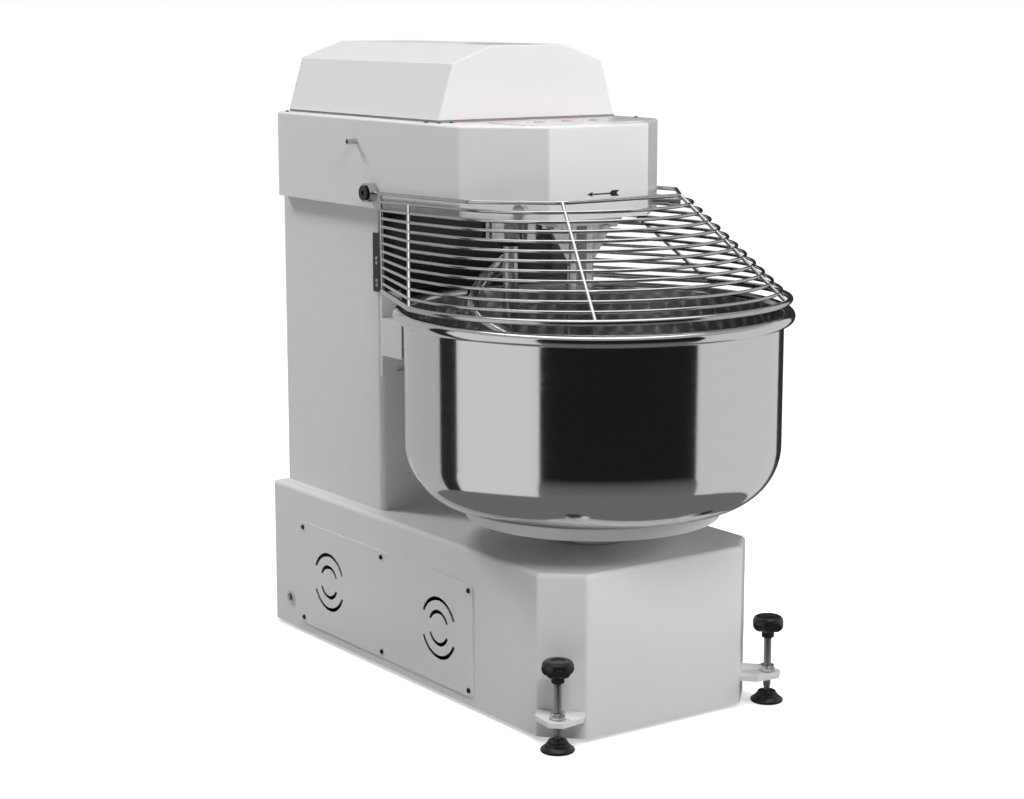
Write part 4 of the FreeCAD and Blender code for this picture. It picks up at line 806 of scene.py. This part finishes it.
def roof_strip():
    """A thin pale strip on the head's roof before the hood."""
    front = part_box("hood")[0].y
    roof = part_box("head_shell")[1].z
    bm = bmesh.new()
    block(bm, (-STRIP_HALF_WIDTH, front - STRIP_REACH[0], roof),
          (STRIP_HALF_WIDTH, front - STRIP_REACH[1], roof + STRIP_THICKNESS))
    mesh_piece("roof_strip", bm, "frame", [STRIP_PRINT])


pin_hole_shade()
key_prints()
hub_slot_painted_shade()
shield_lip()
roof_strip()

# Turning arrow on the front of the head

ARROW_LIFT = 50 * MM
ARROW_LEFT = -31 * MM
ARROW_LENGTH = 82 * MM
ARROW_THICKNESS = 0.2 * MM
ARROW_HALF_SHAFT = 1.4 * MM
ARROW_HALF_HEAD = 5.5 * MM
ARROW_HALF_TAIL = 6 * MM
ARROW_HEAD = 15 * MM
ARROW_BARB = 2 * MM
ARROW_TAIL = 24 * MM
ARROW_TAIL_SLANT = 5 * MM
ARROW_NOTCH = 7 * MM


def arrow():
    """A plain arrow with a pointed head and a notched tail."""
    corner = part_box("head_shell")[0]
    tail = ARROW_LENGTH - ARROW_TAIL
    upper = [(0, 0), (ARROW_HEAD, ARROW_HALF_HEAD), (ARROW_HEAD - ARROW_BARB, ARROW_HALF_SHAFT),
             (tail, ARROW_HALF_SHAFT), (tail + ARROW_TAIL_SLANT, ARROW_HALF_TAIL),
             (ARROW_LENGTH, ARROW_HALF_TAIL), (ARROW_LENGTH - ARROW_NOTCH, 0)]
    lower = [(along, -up) for along, up in reversed(upper[1:-1])]
    bm = bmesh.new()
    outline = [bm.verts.new((ARROW_LEFT + along, corner.y, corner.z + ARROW_LIFT + up))
               for along, up in upper + lower]
    face = bm.faces.new(outline)
    raised = bmesh.ops.extrude_face_region(bm, geom=[face])["geom"]
    bmesh.ops.translate(bm, verts=points_of(raised), vec=(0, -ARROW_THICKNESS, 0))
    bmesh.ops.recalc_face_normals(bm, faces=bm.faces)
    mesh_piece("turning_arrow", bm, "frame", [ARROW_PRINT])


arrow()

# Stage: floor, reflection panels, lights and camera

CAMERA_PLACE = Vector((-2.694, -3.7538, 1.4342))
CAMERA_TURN = (math.radians(79.7104), 0, math.radians(-35.267))
LENS = 76.96
SENSOR = 36.0
PANEL_STEPS = 24
PANEL_RADIUS = 2.3
PANEL_HEIGHT = 1.9
PANEL_INNER_RADIUS = 0.85
PANEL_LIFT = 1 * MM
OVERHEAD_RADIUS = 1.7
OVERHEAD_HEIGHT = 3.2
STANDING = [(PANEL_RADIUS, PANEL_LIFT), (PANEL_RADIUS, PANEL_HEIGHT)]
LYING = [(PANEL_INNER_RADIUS, PANEL_LIFT)] + STANDING
OVERHEAD = [(PANEL_LIFT, OVERHEAD_HEIGHT), (OVERHEAD_RADIUS, OVERHEAD_HEIGHT)]
# Each panel: its first and last angle in degrees, strength and profile
PANELS = [
    (12, 62, 0.03, STANDING),
    (62, 136, 0.47, LYING),
    (136, 150.7, 0.02, LYING),
    (150.7, 203.8, 0.70, LYING),
    (203.8, 291.7, 0.012, STANDING),
    (291.7, 372, 0.64, LYING),
    (0, 360, 1.8, OVERHEAD),
]
FLOOR_REACH = 40
FLOOR_ALBEDO = 0.6
FLOOR_ROUGHNESS = 0.9
FLOOR_GLOW = 0.90
FLOOR_SHADE = 0.40
SHADE_REACH = 32 * MM
PAD_SHADE_REACH = 25 * MM
SHADE_FADE = 2.0
FLOOR_REFLECTED = 0.16
FLOOR_REFLECTED_FAR = 0.015
AMBIENT = 0.18
SKY_REFLECTED = 0.4
AIM = Vector((0, -0.1, 0.8))
# Each lamp: its name, place, size in metres and power in watts
LAMPS = [
    ("key", (-0.8, -2.3, 3.0), 1.2, 63),
    ("right", (2.4, -1.6, 1.4), 1.0, 33),
    ("rear_left", (-1.9, 3.1, 4.1), 1.0, 124),
    ("top", (0.2, 0.0, 9.0), 4.0, 130),
]


def stage_object(name, bm, material):
    """An object of the stage from a bmesh."""
    mesh = bpy.data.meshes.new(name)
    bm.to_mesh(mesh)
    bm.free()
    mesh.materials.append(material)
    made = bpy.data.objects.new(name, mesh)
    bpy.context.scene.collection.objects.link(made)
    return made


def apart(across, along):
    """The distance that two shader values at right angles make up."""
    return (across * across + along * along) ** 0.5


def clear_of_shade(x, y):
    """Zero under the base and the pads, one where their painted soft shade ends."""
    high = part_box("base_shell")[1]
    centre = middle("base_shell")
    beside = (x.size() - high.x).at_least(0.0)
    ahead = ((y - centre.y).size() - (high.y - centre.y)).at_least(0.0)
    from_base = apart(beside, ahead) / SHADE_REACH
    pad = middle("right_foot_pad")
    pad_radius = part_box("right_foot_pad")[1].x - pad.x
    from_pad = (apart(x.size() - pad.x, y - pad.y) - pad_radius) / PAD_SHADE_REACH
    return from_base.at_most(from_pad).held()


def floor():
    """White to the camera with its shadows kept, a painted contact shadow where its glow drops near the base
    and pads, and a dim grey in reflections.
    """
    finish = Finish("floor_white", base_color=grey(FLOOR_ALBEDO), roughness=FLOOR_ROUGHNESS,
                    specular_ior_level=0.0, emission_color=grey(1))
    x, y, _ = finish.axes()
    seen = finish.node("ShaderNodeLightPath", output="Is Camera Ray")
    # Painted contact shadow: the camera glow is lowered near the base and the pads
    shade = FLOOR_SHADE * (1.0 - clear_of_shade(x, y)) ** SHADE_FADE
    finish.set(emission_strength=seen * (FLOOR_GLOW - shade))
    from_bowl = apart(x - BOWL_AXIS.x, y - BOWL_AXIS.y)
    far = ((from_bowl - PANEL_INNER_RADIUS) / (PANEL_RADIUS - PANEL_INNER_RADIUS)).held()
    strength = FLOOR_REFLECTED - (FLOOR_REFLECTED - FLOOR_REFLECTED_FAR) * far
    dim = finish.node("ShaderNodeEmission", None, {"Strength": strength})
    mirrored = finish.node("ShaderNodeLightPath", output="Is Glossy Ray")
    finish.surface(finish.node("ShaderNodeMixShader", None, {0: mirrored, 1: finish.lit(), 2: dim}))
    bm = bmesh.new()
    bmesh.ops.create_grid(bm, x_segments=1, y_segments=1, size=FLOOR_REACH)
    stage_object("floor", bm, finish.material)


def reflection_panel(name, start, end, strength, profile):
    """A panel about the bowl's axis along a profile of radius and height, shown in reflections alone."""
    finish = Finish(name)
    finish.surface(finish.node("ShaderNodeEmission", None, {"Strength": strength}))
    bm = bmesh.new()
    rows = []
    for radius, height in profile:
        points = arc(BOWL_AXIS, radius, start, end, PANEL_STEPS)
        rows.append([bm.verts.new((*point, height)) for point in points])
    for inner, outer in zip(rows, rows[1:]):
        for corners in zip(inner, inner[1:], outer[1:], outer):
            bm.faces.new(corners)
    made = stage_object(name, bm, finish.material)
    made.visible_camera = False
    made.visible_diffuse = False
    made.visible_transmission = False
    made.visible_shadow = False


def lamp(name, place, size, power):
    """A square lamp aimed at the machine and left out of reflections."""
    data = bpy.data.lights.new(name, "AREA")
    data.size = size
    data.energy = power
    made = bpy.data.objects.new(name, data)
    made.location = place
    made.rotation_euler = (AIM - Vector(place)).to_track_quat("-Z", "Y").to_euler()
    made.visible_glossy = False
    bpy.context.scene.collection.objects.link(made)


def world():
    """White to the camera, a plain even light to everything else and a brighter one in reflections."""
    made = bpy.data.worlds.new("studio")
    bpy.context.scene.world = made
    made.use_nodes = True
    tree = made.node_tree
    back = tree.nodes["Background"]
    back.inputs["Color"].default_value = (1, 1, 1, 1)
    path = tree.nodes.new("ShaderNodeLightPath")
    mirrored = tree.nodes.new("ShaderNodeMix")
    mirrored.inputs["A"].default_value = AMBIENT
    mirrored.inputs["B"].default_value = SKY_REFLECTED
    tree.links.new(path.outputs["Is Glossy Ray"], mirrored.inputs["Factor"])
    seen = tree.nodes.new("ShaderNodeMix")
    seen.inputs["B"].default_value = 1.0
    tree.links.new(path.outputs["Is Camera Ray"], seen.inputs["Factor"])
    tree.links.new(mirrored.outputs["Result"], seen.inputs["A"])
    tree.links.new(seen.outputs["Result"], back.inputs["Strength"])


def camera():
    """The photo's camera."""
    data = bpy.data.cameras.new("camera")
    data.lens = LENS
    data.sensor_width = SENSOR
    data.sensor_fit = "HORIZONTAL"
    made = bpy.data.objects.new("camera", data)
    made.location = CAMERA_PLACE
    made.rotation_euler = CAMERA_TURN
    bpy.context.scene.collection.objects.link(made)
    bpy.context.scene.camera = made


floor()
for number, panel in enumerate(PANELS):
    reflection_panel(f"panel_{number}", *panel)
world()
for entry in LAMPS:
    lamp(*entry)
camera()
bpy.context.scene.view_settings.view_transform = "Standard"
